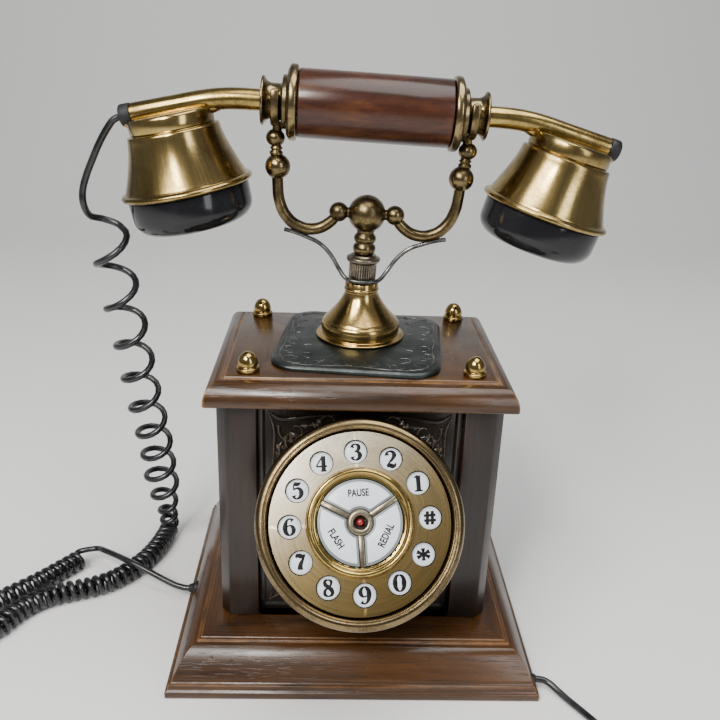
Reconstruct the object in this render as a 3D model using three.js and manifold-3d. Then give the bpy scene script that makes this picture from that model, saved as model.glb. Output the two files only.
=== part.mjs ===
// Table telephone in the old style: a moulded wooden box with a tilted round push-button dial,
// and a brass column whose cradle holds a wood and brass handset.
// Millimetres. +X is right, -Y is the dial side, +Z is up. The origin is on the table, under the
// middle of the box, in the plane of the base board.
import * as THREE from 'three';
import { mergeVertices } from 'three/addons/utils/BufferGeometryUtils.js';
import Module from 'manifold-3d';

const wasm = await Module();
wasm.setup();

// ---------------------------------------------------------------- driving dimensions
const gap = 0.3;                 // between pieces that seat on or in each other

const plinthSpreadX = 26.75;     // plinth, past the box at each side
const plinthSpreadY = 36;        // and at the front and back
const plinthHeight = 27;
const plinthMoulding = 18;       // from the plinth's edge in to the flat that carries the box
const baseBoardThickness = 6;
const baseBoardLap = 8;          // base board, past the cavity on each side

const boxWidth = 150;
const boxDepth = 112;
const boxHeight = 131;
const sideThickness = 7;
const postWidth = 21;            // front posts, seen from the front
const postDepth = 18;
const postChamfer = 5;
const panelRecess = 6;           // front panel, behind the front of the posts
const panelThickness = 6;

const capOverhang = 5.5;
const capThickness = 14.5;
const capMoulding = 11.2;        // from the cap's edge in to its flat top
const capNutInset = 10.5;        // nut centre, from the edge of that flat
const nutFlangeRadius = 6;
const nutHeight = 10.5;

const plateWidth = 90;
const plateDepth = 92;
const plateCorner = 15;
const plateThickness = 3;
const plateYaw = THREE.MathUtils.degToRad(-6);
const plateY = -2.5;             // plate centre, from the box centre

const columnY = 5.5;             // column axis, from the box centre
const bellRadius = 21.7;
const bellNeckRadius = 9.2;
const bellHeight = 31;
const bellWall = 2;

const rodRadius = 3;
const rodLength = 52;            // below the knurled collar
const knurlRadius = 7.6;
const knurlHeight = 11.2;
const collarRadius = 9.3;
const collarHeight = 4;
const lean = THREE.MathUtils.degToRad(2.2);   // the cradle leans to the right
const hubHeight = 37.7;          // ball centre above the column's top
const hubRadius = 9.7;
const forkInset = 2.1;           // arm's upright, inside the middle of the fork
const armRadius = 2.7;
const wireRadius = 1;
const gripHeight = 92.5;         // handset axis above the column's top
const prongAboveAxis = 7;

const gripLength = 79;
const gripRadius = 17.3;
const flangeRadius = 19;
const flangeLength = 5.2;
const spoolNeckRadius = 9;
const spoolDiscRadius = 12.3;
const spoolLength = 13.4;        // flange's outer face to the disc's outer face
const tubeRadius = 5.5;
const tubeWall = 1;
const tubeLead = 7.6;            // straight tube between the spool and the bend
const tubeBend = THREE.MathUtils.degToRad(14.2);
const tubeBendRadius = 105;
const tubeTail = 33.5;           // straight length after the bend
const plugLength = 6;
const cupOnTail = 15;            // cup axis, from the end of the bend
const cupBossRadius = 22.3;
const cupShoulderRadius = 24.2;
const cupRimRadius = 34.8;
const cupDrop = 41.2;            // tube axis to the rim
const capInset = 2.6;            // cap's wall, inside the cup's rim
const capDepth = 19.5;

const dialTilt = THREE.MathUtils.degToRad(34);     // leans back from upright
const dialTwist = THREE.MathUtils.degToRad(4.6);   // turned to the left
const bezelBelowTop = 2.2;       // bezel's top edge, below the top of the box
const bezelRadius = 52.2;
const bezelWidth = 6.9;
const faceThickness = 2;
const keyInset = 10.4;           // key centre, inside the bezel's inner edge
const keyHoleRadius = 6.1;
const keyRecess = 1.2;
const keyDepth = 6;
const ringOuterRadius = 27;
const ringInnerRadius = 21.8;
const bossRadius = 6.45;
const spokeWidth = 2.6;
const housingDepth = 20;
const housingTaper = 10;         // how much narrower the pan's back is than its mouth
const housingClearance = 1.9;    // between the pan's back edge and the front panel
const housingNeckRadius = 28;
const neckDrop = 12;             // neck's axis, below the face centre

const handsetWire = 3.8;
const curlRadius = 10;           // curly cord where its own weight opens it
const tightCurlRadius = 6.7;     // curly cord lying on the table, closed up
const lineWire = 3.8;
const lineCoilRadius = 21;       // middle of the turns

// ---------------------------------------------------------------- heights and places
const plinthWidth = boxWidth + 2 * plinthSpreadX;
const plinthDepth = boxDepth + 2 * plinthSpreadY;
const boxBottom = plinthHeight + gap;
const boxTop = boxBottom + boxHeight;
const capBottom = boxTop + gap;
const capTop = capBottom + capThickness;
const plateTop = capTop + gap + plateThickness;
const bellBottom = plateTop + gap;
const columnTop = bellBottom + bellHeight + gap;
const panelFront = -boxDepth / 2 + panelRecess;
const dialHeight = boxTop - bezelBelowTop - bezelRadius * Math.cos(dialTilt);
const bezelInnerRadius = bezelRadius - bezelWidth;
const keyCircleRadius = bezelInnerRadius - keyInset;
const panRadius = bezelRadius - 2;
const panReach = (panRadius - housingTaper) * Math.sin(dialTilt) + housingDepth * Math.cos(dialTilt);
const dialY = panelFront - housingClearance - panReach;
const capRadius = cupRimRadius - capInset;
const springBore = rodRadius + rodLength * Math.sin(lean) + gap;
const springRadius = springBore + 1;
const rodHoleRadius = springRadius + gap;
const tubeReach = tubeRadius + gap;

// ---------------------------------------------------------------- geometry helpers
function weld(geometry) {
  const bare = geometry.index ? geometry : geometry.clone();
  bare.deleteAttribute('normal');
  bare.deleteAttribute('uv');
  const merged = mergeVertices(bare, 1e-4);
  const corners = merged.index.array;
  const at = merged.attributes.position;
  const kept = [];
  let volume = 0;
  const a = new THREE.Vector3();
  const b = new THREE.Vector3();
  const c = new THREE.Vector3();
  for (let i = 0; i < corners.length; i += 3) {
    const [p, q, r] = corners.subarray(i, i + 3);
    if (p === q || q === r || r === p) continue;
    kept.push(p, q, r);
    a.fromBufferAttribute(at, p);
    b.fromBufferAttribute(at, q);
    c.fromBufferAttribute(at, r);
    volume += a.dot(b.cross(c));
  }
  if (volume < 0) kept.reverse();
  merged.setIndex(kept);
  return merged;
}

function toSolid(geometry) {
  const welded = weld(geometry);
  return new wasm.Manifold(new wasm.Mesh({
    numProp: 3,
    vertProperties: new Float32Array(welded.attributes.position.array),
    triVerts: new Uint32Array(welded.index.array),
  }));
}

function toGeometry(solid) {
  const mesh = solid.getMesh();
  const geometry = new THREE.BufferGeometry();
  geometry.setAttribute('position', new THREE.BufferAttribute(mesh.vertProperties, 3));
  geometry.setIndex(new THREE.BufferAttribute(mesh.triVerts, 1));
  return geometry;
}

function join(...geometries) {
  return toGeometry(geometries.map(toSolid).reduce((whole, piece) => whole.add(piece)));
}

function cut(geometry, ...tools) {
  return toGeometry(tools.map(toSolid).reduce((whole, tool) => whole.subtract(tool), toSolid(geometry)));
}

// A turned shape: outline points are [radius, height], and the axis is Z.
function turned(outline, segments = 28) {
  const points = outline.map(([radius, height]) => new THREE.Vector2(radius, height));
  return weld(new THREE.LatheGeometry(points, segments).rotateX(Math.PI / 2));
}

// The same for a closed outline that stays off the axis.
function turnedRing(outline, segments = 28) {
  return turned([...outline, outline[0]], segments);
}

// Turned shapes about X: the height runs outwards along +X.
function alongX(geometry) {
  return geometry.rotateY(Math.PI / 2);
}

function drum(radius, bottom, top, segments = 24) {
  return turned([[0, bottom], [radius, bottom], [radius, top], [0, top]], segments);
}

function ball(radius, x, y, z, segments = 16) {
  const arc = [];
  for (let i = 0; i <= segments / 2; i += 1) {
    const angle = (i / (segments / 2) - 0.5) * Math.PI;
    arc.push([i % (segments / 2) ? radius * Math.cos(angle) : 0, radius * Math.sin(angle)]);
  }
  return turned(arc, segments).translate(x, y, z);
}

function block(width, depth, height, x, y, bottom) {
  return new THREE.BoxGeometry(width, depth, height).translate(x, y, bottom + height / 2);
}

function raised(shape, bottom, height, curveSegments = 6) {
  const options = { depth: height, bevelEnabled: false, curveSegments };
  return weld(new THREE.ExtrudeGeometry(shape, options).translate(0, 0, bottom));
}

function polygon(points) {
  return new THREE.Shape(points.map(([x, y]) => new THREE.Vector2(x, y)));
}

function circle(radius, sides) {
  const points = [];
  for (let i = 0; i < sides; i += 1) {
    const angle = (2 * Math.PI * i) / sides;
    points.push([radius * Math.cos(angle), radius * Math.sin(angle)]);
  }
  return polygon(points);
}

// A round bar along a curve, with flat ends.
function barAlong(curve, radius, steps, sides = 8, bore = 0) {
  const section = circle(radius, sides);
  if (bore > 0) section.holes.push(circle(bore, sides));
  return weld(new THREE.ExtrudeGeometry(section, { steps, extrudePath: curve, bevelEnabled: false }));
}

function curveThrough(points) {
  return new THREE.CatmullRomCurve3(points.map((p) => new THREE.Vector3(...p)), false, 'centripetal');
}

// A rectangular frame or slab with mitred corners. The outline's points are [inset, height], from
// the bottom edge round to the top edge; the shape is closed by its flat bottom and flat top.
function mitred(width, depth, outline) {
  const positions = [];
  const corners = [];
  for (const [inset, height] of outline) {
    const x = width / 2 - inset;
    const y = depth / 2 - inset;
    positions.push(-x, -y, height, x, -y, height, x, y, height, -x, y, height);
  }
  const last = outline.length - 1;
  for (let level = 0; level < last; level += 1) {
    for (let side = 0; side < 4; side += 1) {
      const a = level * 4 + side;
      const b = level * 4 + ((side + 1) % 4);
      corners.push(a, b, b + 4, a, b + 4, a + 4);
    }
  }
  corners.push(0, 2, 1, 0, 3, 2);
  corners.push(last * 4, last * 4 + 1, last * 4 + 2, last * 4, last * 4 + 2, last * 4 + 3);
  const geometry = new THREE.BufferGeometry();
  geometry.setAttribute('position', new THREE.Float32BufferAttribute(positions, 3));
  geometry.setIndex(corners);
  return geometry;
}

const finishes = {
  walnut: [0x4a2613, 0.4, 0],
  darkWood: [0x1d120c, 0.5, 0],
  rosewood: [0x4b2115, 0.25, 0],
  antiqueBrass: [0x8f7434, 0.32, 1],
  darkBrass: [0x5d4a2c, 0.4, 1],
  paleBrass: [0xb59a63, 0.35, 1],
  blackMetal: [0x2b3133, 0.45, 1],
  steel: [0x6a6a66, 0.35, 1],
  blackPlastic: [0x0a0b0b, 0.18, 0],
  whitePlastic: [0xe4e7ea, 0.3, 0],
  board: [0x1f5a33, 0.6, 0],
  cord: [0x0d0e10, 0.25, 0],
};

function material(finish) {
  const [color, roughness, metalness] = finishes[finish];
  return new THREE.MeshStandardMaterial({ color, roughness, metalness });
}

function add(parent, name, finish, geometry, x = 0, y = 0, z = 0) {
  const mesh = new THREE.Mesh(geometry, material(finish));
  mesh.name = name;
  mesh.position.set(x, y, z);
  parent.add(mesh);
  return mesh;
}

const group = new THREE.Group();

// ---------------------------------------------------------------- plinth and base board
const cavityWidth = boxWidth - 2 * sideThickness;
const cavityDepth = boxDepth - 2 * (panelRecess + panelThickness);
const grommetRadius = 3.4;
const grommetFlange = 4.6;
const grommetRecess = 3.4;       // flange's outer face, in from the plinth's side
const handsetCordEntry = [-plinthWidth / 2, -9, 9];
const lineCordExit = [plinthWidth / 2, -plinthDepth / 2 + 12, grommetFlange + 0.4];

function plinthOutline() {
  const m = plinthMoulding;
  const h = plinthHeight;
  const points = [[0, 0], [0, 4.4], [1.6, 5.4], [1.8, 8], [3, 9.4], [4.2, 11]];
  // The big ogee: a round shoulder that turns hollow towards the flat.
  for (let i = 0; i <= 5; i += 1) {
    const t = i / 5;
    points.push([4.2 + (m - 6.4) * t, 11 + (h - 13) * Math.sin((t * Math.PI) / 2)]);
  }
  points.push([m - 1.6, h - 0.6], [m, h - 0.6], [m, h]);
  return points;
}

const boardWidth = cavityWidth + 2 * baseBoardLap;
const boardDepth = cavityDepth + 2 * baseBoardLap;
function cordHole([x, y, z], side) {
  const bore = drum(grommetRadius + gap, -plinthMoulding, 12, 12);
  const counterbore = drum(grommetFlange + gap, -grommetRecess - 2.4 - gap, 12, 16);
  return alongX(join(bore, counterbore)).scale(side, 1, 1).translate(x, y, z);
}
const plinthBody = cut(
  mitred(plinthWidth, plinthDepth, plinthOutline()),
  block(cavityWidth, cavityDepth, 2 * plinthHeight, 0, 0, -plinthHeight / 2),
  block(boardWidth, boardDepth, 2 * (baseBoardThickness + gap), 0, 0, -baseBoardThickness - gap),
  cordHole(handsetCordEntry, -1),
  cordHole(lineCordExit, 1),
);
add(group, 'plinth', 'walnut', plinthBody);
const baseBoard = block(boardWidth - 2 * gap, boardDepth - 2 * gap, baseBoardThickness, 0, 0, 0);
add(group, 'base_board', 'darkWood', baseBoard);

// ---------------------------------------------------------------- box, front panel and cap
function boxSection() {
  const x = boxWidth / 2;
  const y = boxDepth / 2;
  const c = postChamfer;
  const inner = x - sideThickness;
  const post = x - postWidth;
  const back = y - sideThickness;
  return polygon([
    [-x, -y + c], [-x + c, -y], [-post, -y], [-post, -y + postDepth], [-inner, -y + postDepth],
    [-inner, back], [inner, back], [inner, -y + postDepth], [post, -y + postDepth], [post, -y],
    [x - c, -y], [x, -y + c], [x, y - c], [x - c, y], [-x + c, y], [-x, y - c],
  ]);
}
add(group, 'cabinet', 'walnut', raised(boxSection(), boxBottom, boxHeight));

const panelWidth = boxWidth - 2 * postWidth - 2 * gap;
const wireHole = new THREE.Shape().absarc(0, dialHeight - neckDrop, housingNeckRadius - 8, 0, 2 * Math.PI);
const panelShape = polygon([
  [-panelWidth / 2, boxBottom], [panelWidth / 2, boxBottom],
  [panelWidth / 2, boxTop - gap], [-panelWidth / 2, boxTop - gap],
]);
panelShape.holes.push(wireHole);
const panel = raised(panelShape, 0, panelThickness, 24).rotateX(Math.PI / 2);
add(group, 'front_panel', 'darkWood', panel, 0, panelFront + panelThickness, 0);

const capWidth = boxWidth + 2 * capOverhang;
const capDepthY = boxDepth + 2 * capOverhang;
function capOutline() {
  const points = [[1.5, 0], [0, 1.2], [0, 2.4]];
  // A quarter round, then a small bead beside the flat.
  for (let i = 1; i <= 5; i += 1) {
    const angle = (i / 5) * (Math.PI / 2);
    const reach = capMoulding - 1.6;
    points.push([reach * (1 - Math.cos(angle)), 2.4 + (capThickness - 3) * Math.sin(angle)]);
  }
  points.push([capMoulding, capThickness - 0.6], [capMoulding, capThickness]);
  return points;
}
const capBody = cut(
  mitred(capWidth, capDepthY, capOutline()),
  drum(rodHoleRadius, -1, capThickness + 1, 16).translate(0, columnY, 0),
);
add(group, 'top_cap', 'walnut', capBody, 0, 0, capBottom);

const nutX = capWidth / 2 - capMoulding - capNutInset;
const nutY = capDepthY / 2 - capMoulding - 6;
const nutOutline = [[0, 0], [nutFlangeRadius, 0], [nutFlangeRadius, 2.4], [nutFlangeRadius - 0.9, 3]];
for (let i = 1; i < 5; i += 1) {
  const angle = (i / 5) * (Math.PI / 2);
  nutOutline.push([(nutFlangeRadius - 0.9) * Math.cos(angle), 3.6 + (nutHeight - 3.6) * Math.sin(angle)]);
}
nutOutline.push([0, nutHeight]);
[[-1, -1], [1, -1], [1, 1], [-1, 1]].forEach(([right, back], i) => {
  const nut = turned(nutOutline, 16);
  add(group, `acorn_nut_${i + 1}`, 'antiqueBrass', nut, right * nutX, back * nutY, capTop + gap);
});

// ---------------------------------------------------------------- top plate and column bell
const plateShape = new THREE.Shape();
const plateX = plateWidth / 2;
const plateHalf = plateDepth / 2;
plateShape.absarc(plateX - plateCorner, plateHalf - plateCorner, plateCorner, 0, Math.PI / 2);
plateShape.absarc(-plateX + plateCorner, plateHalf - plateCorner, plateCorner, Math.PI / 2, Math.PI);
plateShape.absarc(-plateX + plateCorner, -plateHalf + plateCorner, plateCorner, Math.PI, Math.PI * 1.5);
plateShape.absarc(plateX - plateCorner, -plateHalf + plateCorner, plateCorner, Math.PI * 1.5, Math.PI * 2);
const plateBlank = raised(plateShape, 0, plateThickness).rotateZ(plateYaw).translate(0, plateY, 0);
const rodHole = drum(rodHoleRadius, -1, plateThickness + 1, 16).translate(0, columnY, 0);
add(group, 'top_plate', 'blackMetal', cut(plateBlank, rodHole), 0, 0, capTop + gap);

// The hollow curve from the bell's skirt to its neck; the inner one is a wall's thickness inside it.
function bellSlope(inset) {
  const slope = [[0.68, 0.32], [0.416, 0.45], [0.24, 0.58], [0.088, 0.71], [0, 0.807]];
  return slope.map(([out, up]) => [
    Math.max(bellNeckRadius + (bellRadius - bellNeckRadius) * out - inset, rodRadius + 1.6),
    bellHeight * up - inset / 2,
  ]);
}
const bellOutline = [
  [bellRadius + 3.3, 0], [bellRadius + 3.3, 1.2], [bellRadius, 1.4], [bellRadius, 6.8],
  [bellRadius - 0.9, 7.5], ...bellSlope(0), [bellNeckRadius, bellHeight], [rodRadius + 1.6, bellHeight],
  ...bellSlope(bellWall).reverse(), [bellRadius - bellWall, 5.5], [bellRadius - bellWall, 0],
];
add(group, 'column_bell', 'antiqueBrass', turnedRing(bellOutline), 0, columnY, bellBottom);

// ---------------------------------------------------------------- cradle
// Everything above the column's top leans together; this group's Z is the cradle's own axis.
const cradle = new THREE.Group();
cradle.position.set(0, columnY, columnTop);
cradle.rotation.y = lean;
group.add(cradle);

const knurlPoints = [];
const knurlRidges = 20;
for (let i = 0; i < 2 * knurlRidges; i += 1) {
  const radius = knurlRadius - (i % 2 ? 0.6 : 0);
  const angle = (Math.PI * i) / knurlRidges;
  knurlPoints.push([radius * Math.cos(angle), radius * Math.sin(angle)]);
}
const collarTop = knurlHeight + collarHeight;
const stem = join(
  raised(polygon(knurlPoints), 0, knurlHeight + 0.5),
  turned([
    [0, knurlHeight], [collarRadius - 1, knurlHeight], [collarRadius, knurlHeight + 0.8],
    [collarRadius, collarTop - 1], [collarRadius - 1.6, collarTop], [0, collarTop],
  ]),
  drum(rodRadius, -rodLength, 1, 12),
);
add(cradle, 'cradle_stem', 'darkBrass', stem);

const neckX = gripLength / 2 + gap + flangeLength + spoolLength * 0.45;
const armSpan = neckX - forkInset;
function cradleYoke() {
  const pieces = [
    drum(4.6, collarTop + gap, hubHeight, 16),
    ball(hubRadius, 0, 0, hubHeight, 20),
  ];
  for (const height of [collarTop + 3.4, collarTop + 9]) {
    pieces.push(turned([
      [0, height - 2.8], [4.6, height - 2.8], [6.2, height - 1], [6.2, height + 1],
      [4.6, height + 2.8], [0, height + 2.8],
    ], 20));
  }
  for (const side of [-1, 1]) {
    const bead = side * (hubRadius + 5.5);
    pieces.push(alongX(drum(3, 0, Math.abs(bead), 10)).scale(side, 1, 1).translate(0, 0, hubHeight));
    pieces.push(ball(4.5, bead, 0, hubHeight, 12));
    const arm = curveThrough([
      [bead, 0, hubHeight], [side * (armSpan - 29.4), 0, hubHeight - 5.5],
      [side * (armSpan - 20.9), 0, hubHeight - 9.6],
      [side * (armSpan - 12.7), 0, hubHeight - 7.9], [side * (armSpan - 6.4), 0, hubHeight - 2.4],
      [side * (armSpan - 3.2), 0, hubHeight + 4], [side * (armSpan - 1.2), 0, hubHeight + 12],
      [side * armSpan, 0, hubHeight + 22],
    ]);
    pieces.push(barAlong(arm, armRadius, 14, 10));
    pieces.push(ball(6.2, side * armSpan, 0, hubHeight + 22, 12));
    pieces.push(drum(2.6, hubHeight + 22, gripHeight - 18, 8).translate(side * armSpan, 0, 0));
    pieces.push(ball(3.5, side * armSpan, 0, hubHeight + 30.3, 10));
    pieces.push(ball(4.9, side * (neckX - 0.4), 0, gripHeight - spoolNeckRadius - 9.2, 12));
    const shank = drum(2.2, gripHeight - 18, gripHeight - spoolNeckRadius - 2, 8);
    pieces.push(shank.translate(side * neckX, 0, 0));
    pieces.push(fork(side));
  }
  return join(...pieces);
}

// A U of flat bar whose round bottom carries the spool neck.
function fork(side) {
  const inner = spoolNeckRadius + gap;
  const outer = inner + 3.1;
  const shape = new THREE.Shape();
  shape.moveTo(inner, prongAboveAxis);
  shape.lineTo(inner, 0);
  shape.absarc(0, 0, inner, 0, -Math.PI, true);
  shape.lineTo(-inner, prongAboveAxis);
  shape.lineTo(-outer, prongAboveAxis - 1);
  shape.absarc(0, 0, outer, Math.PI, 2 * Math.PI, false);
  shape.lineTo(outer, prongAboveAxis - 1);
  const width = 4.6;
  const bar = raised(shape, -width / 2, width, 10).rotateX(Math.PI / 2).rotateZ(Math.PI / 2);
  return bar.translate(side * neckX, 0, gripHeight);
}
add(cradle, 'cradle_yoke', 'darkBrass', cradleYoke());

const wireFront = -(knurlRadius + gap + wireRadius);
const wireHalf = [
  [5, wireFront * 0.86, 1.6], [9.3, -4.4, 2.2], [13, -1.2, 6], [armSpan - 30.6, 0, 13.8],
  [armSpan - 24.4, 0, 19.6], [armSpan - 16.9, 0, 22.9], [armSpan - 7.9, 0, 26],
];
const wirePath = [
  ...wireHalf.map(([x, y, z]) => [-x, y, z]).reverse(), [0, wireFront, 1.5], ...wireHalf,
];
add(cradle, 'wire_rest', 'steel', barAlong(curveThrough(wirePath), wireRadius, 36, 6));

// ---------------------------------------------------------------- handset
// X is the grip's axis; each end is built once for +X and turned round for the other side.
const handset = new THREE.Group();
handset.position.z = gripHeight;
cradle.add(handset);
const gripEnd = gripLength / 2;
const grip = alongX(turnedRing([
  [gripRadius, -gripEnd], [gripRadius, gripEnd], [tubeReach, gripEnd], [tubeReach, -gripEnd],
]));
add(handset, 'handset_grip', 'rosewood', grip);

const spoolStart = gripEnd + gap;
const spoolEnd = spoolStart + flangeLength + spoolLength;
const spoolOutline = [
  [flangeRadius - 0.8, 0], [flangeRadius, 1], [flangeRadius, flangeLength - 1.2],
  [flangeRadius - 1.2, flangeLength], [13.5, flangeLength], [13.5, flangeLength + 2.6],
  [spoolNeckRadius, flangeLength + 2.8], [spoolNeckRadius, flangeLength + spoolLength - 4.2],
  [spoolDiscRadius, flangeLength + spoolLength - 2.4], [spoolDiscRadius, flangeLength + spoolLength],
  [tubeReach, flangeLength + spoolLength], [tubeReach, 0],
];
const tubeStraight = spoolEnd + tubeLead;
const bendEnd = [
  tubeStraight + tubeBendRadius * Math.sin(tubeBend),
  -tubeBendRadius * (1 - Math.cos(tubeBend)),
];
function alongTail(distance) {
  return [bendEnd[0] + distance * Math.cos(tubeBend), bendEnd[1] - distance * Math.sin(tubeBend)];
}
function tubeCurve(start) {
  const path = new THREE.CurvePath();
  const bendStart = new THREE.Vector3(tubeStraight, 0, 0);
  const corner = new THREE.Vector3(tubeStraight + tubeBendRadius * Math.tan(tubeBend / 2), 0, 0);
  const bendStop = new THREE.Vector3(bendEnd[0], 0, bendEnd[1]);
  const [tipX, tipZ] = alongTail(tubeTail);
  path.add(new THREE.LineCurve3(new THREE.Vector3(start, 0, 0), bendStart));
  path.add(new THREE.QuadraticBezierCurve3(bendStart, corner, bendStop));
  path.add(new THREE.LineCurve3(bendStop, new THREE.Vector3(tipX, 0, tipZ)));
  return path;
}

// Radius of the cup's flaring wall, a share of the way from its shoulder to its rim.
function flare(share) {
  return cupShoulderRadius + (cupRimRadius - cupShoulderRadius) * share;
}

// Heights below the tube's axis, along the cup's own axis.
const cupOutline = [
  [0, 3.6], [cupBossRadius, 3.6], [cupBossRadius, 10.4], [cupShoulderRadius - 0.7, 10.6],
  [cupShoulderRadius, 11.6], [flare(0.113), 18], [flare(0.292), 25.5], [flare(0.528), 33],
  [flare(0.774), 37.8], [cupRimRadius - 0.5, cupDrop - 1.4],
  [cupRimRadius, cupDrop], [cupRimRadius - 0.8, cupDrop + 1.2], [capRadius - 1, cupDrop + 1.2],
  [flare(0.54) - 2.1, 32], [cupShoulderRadius - 2, 14], [0, 13],
];
const capShellOutline = [
  [capRadius, cupDrop + 1.2 + gap], [capRadius, cupDrop + 9], [capRadius - 1.3, cupDrop + 15],
  [capRadius - 5, cupDrop + capDepth], [capRadius - 12, cupDrop + capDepth + 1.6],
  [0, cupDrop + capDepth + 2], [0, cupDrop + capDepth - 1], [capRadius - 6, cupDrop + capDepth - 2.4],
  [capRadius - 3, cupDrop + 12], [capRadius - 3, cupDrop + 1.2 + gap],
];
const capsuleRadius = capRadius - 7.2;
const capsuleOutline = [
  [0, cupDrop - 3], [capsuleRadius, cupDrop - 3], [capsuleRadius, cupDrop + 9], [0, cupDrop + 9],
];

function below(outline) {
  return turned(outline.map(([radius, drop]) => [radius, -drop]));
}

function handsetEnd(name, capName, capsuleName, rightSide) {
  const end = new THREE.Group();
  end.rotation.z = rightSide ? 0 : Math.PI;
  handset.add(end);
  const spool = alongX(turnedRing(spoolOutline)).translate(spoolStart, 0, 0);
  add(end, `${name}_ferrule`, 'darkBrass', spool);
  const start = spoolStart + flangeLength;
  const tube = barAlong(tubeCurve(start), tubeRadius, 12, 14, tubeRadius - tubeWall);
  add(end, `${name}_tube`, 'antiqueBrass', tube);

  const tail = new THREE.Group();
  tail.position.set(bendEnd[0], 0, bendEnd[1]);
  tail.rotation.y = tubeBend;
  end.add(tail);
  const plug = alongX(turned([
    [0, 0], [tubeRadius + 0.2, 0], [tubeRadius + 0.2, plugLength - 1], [tubeRadius - 0.8, plugLength],
    [0, plugLength],
  ], 16));
  add(tail, `${name}_tube_plug`, 'blackPlastic', plug, tubeTail + gap, 0, 0);
  const scoop = alongX(drum(tubeReach, -cupBossRadius - 5, cupBossRadius + 5, 20));
  add(tail, `${name}_cup`, 'antiqueBrass', cut(below(cupOutline), scoop), cupOnTail, 0, 0);
  add(tail, capName, 'blackPlastic', below([...capShellOutline, capShellOutline[0]]), cupOnTail, 0, 0);
  add(tail, capsuleName, 'steel', below(capsuleOutline), cupOnTail, 0, 0);
}
handsetEnd('left', 'receiver_cap', 'receiver_capsule', false);
handsetEnd('right', 'transmitter_cap', 'transmitter_capsule', true);

// ---------------------------------------------------------------- dial
// The group's Z points out of the dial's face, and Y up along it.
const dial = new THREE.Group();
dial.position.set(0, dialY, dialHeight);
dial.rotation.x = Math.PI / 2 - dialTilt;
group.add(dial);
const clock = new THREE.Group();
clock.rotation.z = dialTwist;
dial.add(clock);

const bezelBack = -6;
const bezel = turnedRing([
  [bezelInnerRadius, bezelBack], [bezelRadius, bezelBack], [bezelRadius, -1.4], [bezelRadius - 0.9, 1],
  [bezelRadius - 2.8, 2.3], [bezelInnerRadius + 2, 2.3], [bezelInnerRadius + 0.6, 1.2],
  [bezelInnerRadius, -0.4],
], 48);
add(dial, 'dial_bezel', 'antiqueBrass', bezel);

const faceShape = new THREE.Shape().absarc(0, 0, bezelInnerRadius - gap, 0, 2 * Math.PI);
faceShape.holes.push(new THREE.Path().absarc(0, 0, ringInnerRadius + 0.6, 0, 2 * Math.PI));
const keyAngles = [];
for (let i = 0; i < 12; i += 1) {
  keyAngles.push(Math.PI / 2 - (i * Math.PI) / 6);
}
for (const angle of keyAngles) {
  const hole = new THREE.Path();
  const x = keyCircleRadius * Math.cos(angle);
  const y = keyCircleRadius * Math.sin(angle);
  hole.absarc(x, y, keyHoleRadius, 0, 2 * Math.PI);
  faceShape.holes.push(hole);
}
add(clock, 'dial_face', 'paleBrass', raised(faceShape, -faceThickness, faceThickness, 9));

const ring = turnedRing([
  [ringInnerRadius, gap], [ringOuterRadius, gap], [ringOuterRadius - 0.6, 2.2], [ringOuterRadius - 2, 3.2],
  [ringInnerRadius + 1.6, 3.2], [ringInnerRadius, 2],
], 36);
add(dial, 'dial_ring', 'antiqueBrass', ring);

const keyNames = ['3', '2', '1', 'hash', 'star', '0', '9', '8', '7', '6', '5', '4'];
keyNames.forEach((label, i) => {
  const key = drum(keyHoleRadius - gap, -keyDepth - keyRecess, -keyRecess, 16);
  const x = keyCircleRadius * Math.cos(keyAngles[i]);
  const y = keyCircleRadius * Math.sin(keyAngles[i]);
  add(clock, `key_${label}`, 'whitePlastic', key, x, y, 0);
});

// Divider: a boss with three spokes, which part the three function keys.
const spokeEnd = ringInnerRadius - gap;
const spokes = [Math.PI / 6, Math.PI * 5 / 6, -Math.PI / 2].map((angle) => (
  block(spokeEnd, spokeWidth, 4.6, spokeEnd / 2, 0, -4).rotateZ(angle)
));
const lampHole = drum(3.2, -3, 5, 12);
add(clock, 'key_divider', 'darkBrass', cut(join(drum(bossRadius, -6, 2.2, 24), ...spokes), lampHole));

function functionKey(middle) {
  const inner = bossRadius + gap;
  const outer = ringInnerRadius - 2 * gap;
  const edge = spokeWidth / 2 + gap;
  const from = (radius) => middle - Math.PI / 3 + Math.asin(edge / radius);
  const to = (radius) => middle + Math.PI / 3 - Math.asin(edge / radius);
  const shape = new THREE.Shape();
  shape.absarc(0, 0, outer, from(outer), to(outer), false);
  shape.absarc(0, 0, inner, to(inner), from(inner), true);
  return raised(shape, -keyDepth, keyDepth, 10);
}
[['pause', Math.PI / 2], ['flash', Math.PI * 7 / 6], ['redial', -Math.PI / 6]].forEach(([label, middle]) => {
  add(clock, `key_${label}`, 'whitePlastic', functionKey(middle));
});

const boardTop = -keyRecess - keyDepth - 3;
add(clock, 'key_board', 'board', drum(bezelInnerRadius - 2, boardTop - 1.6, boardTop, 32));

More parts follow.
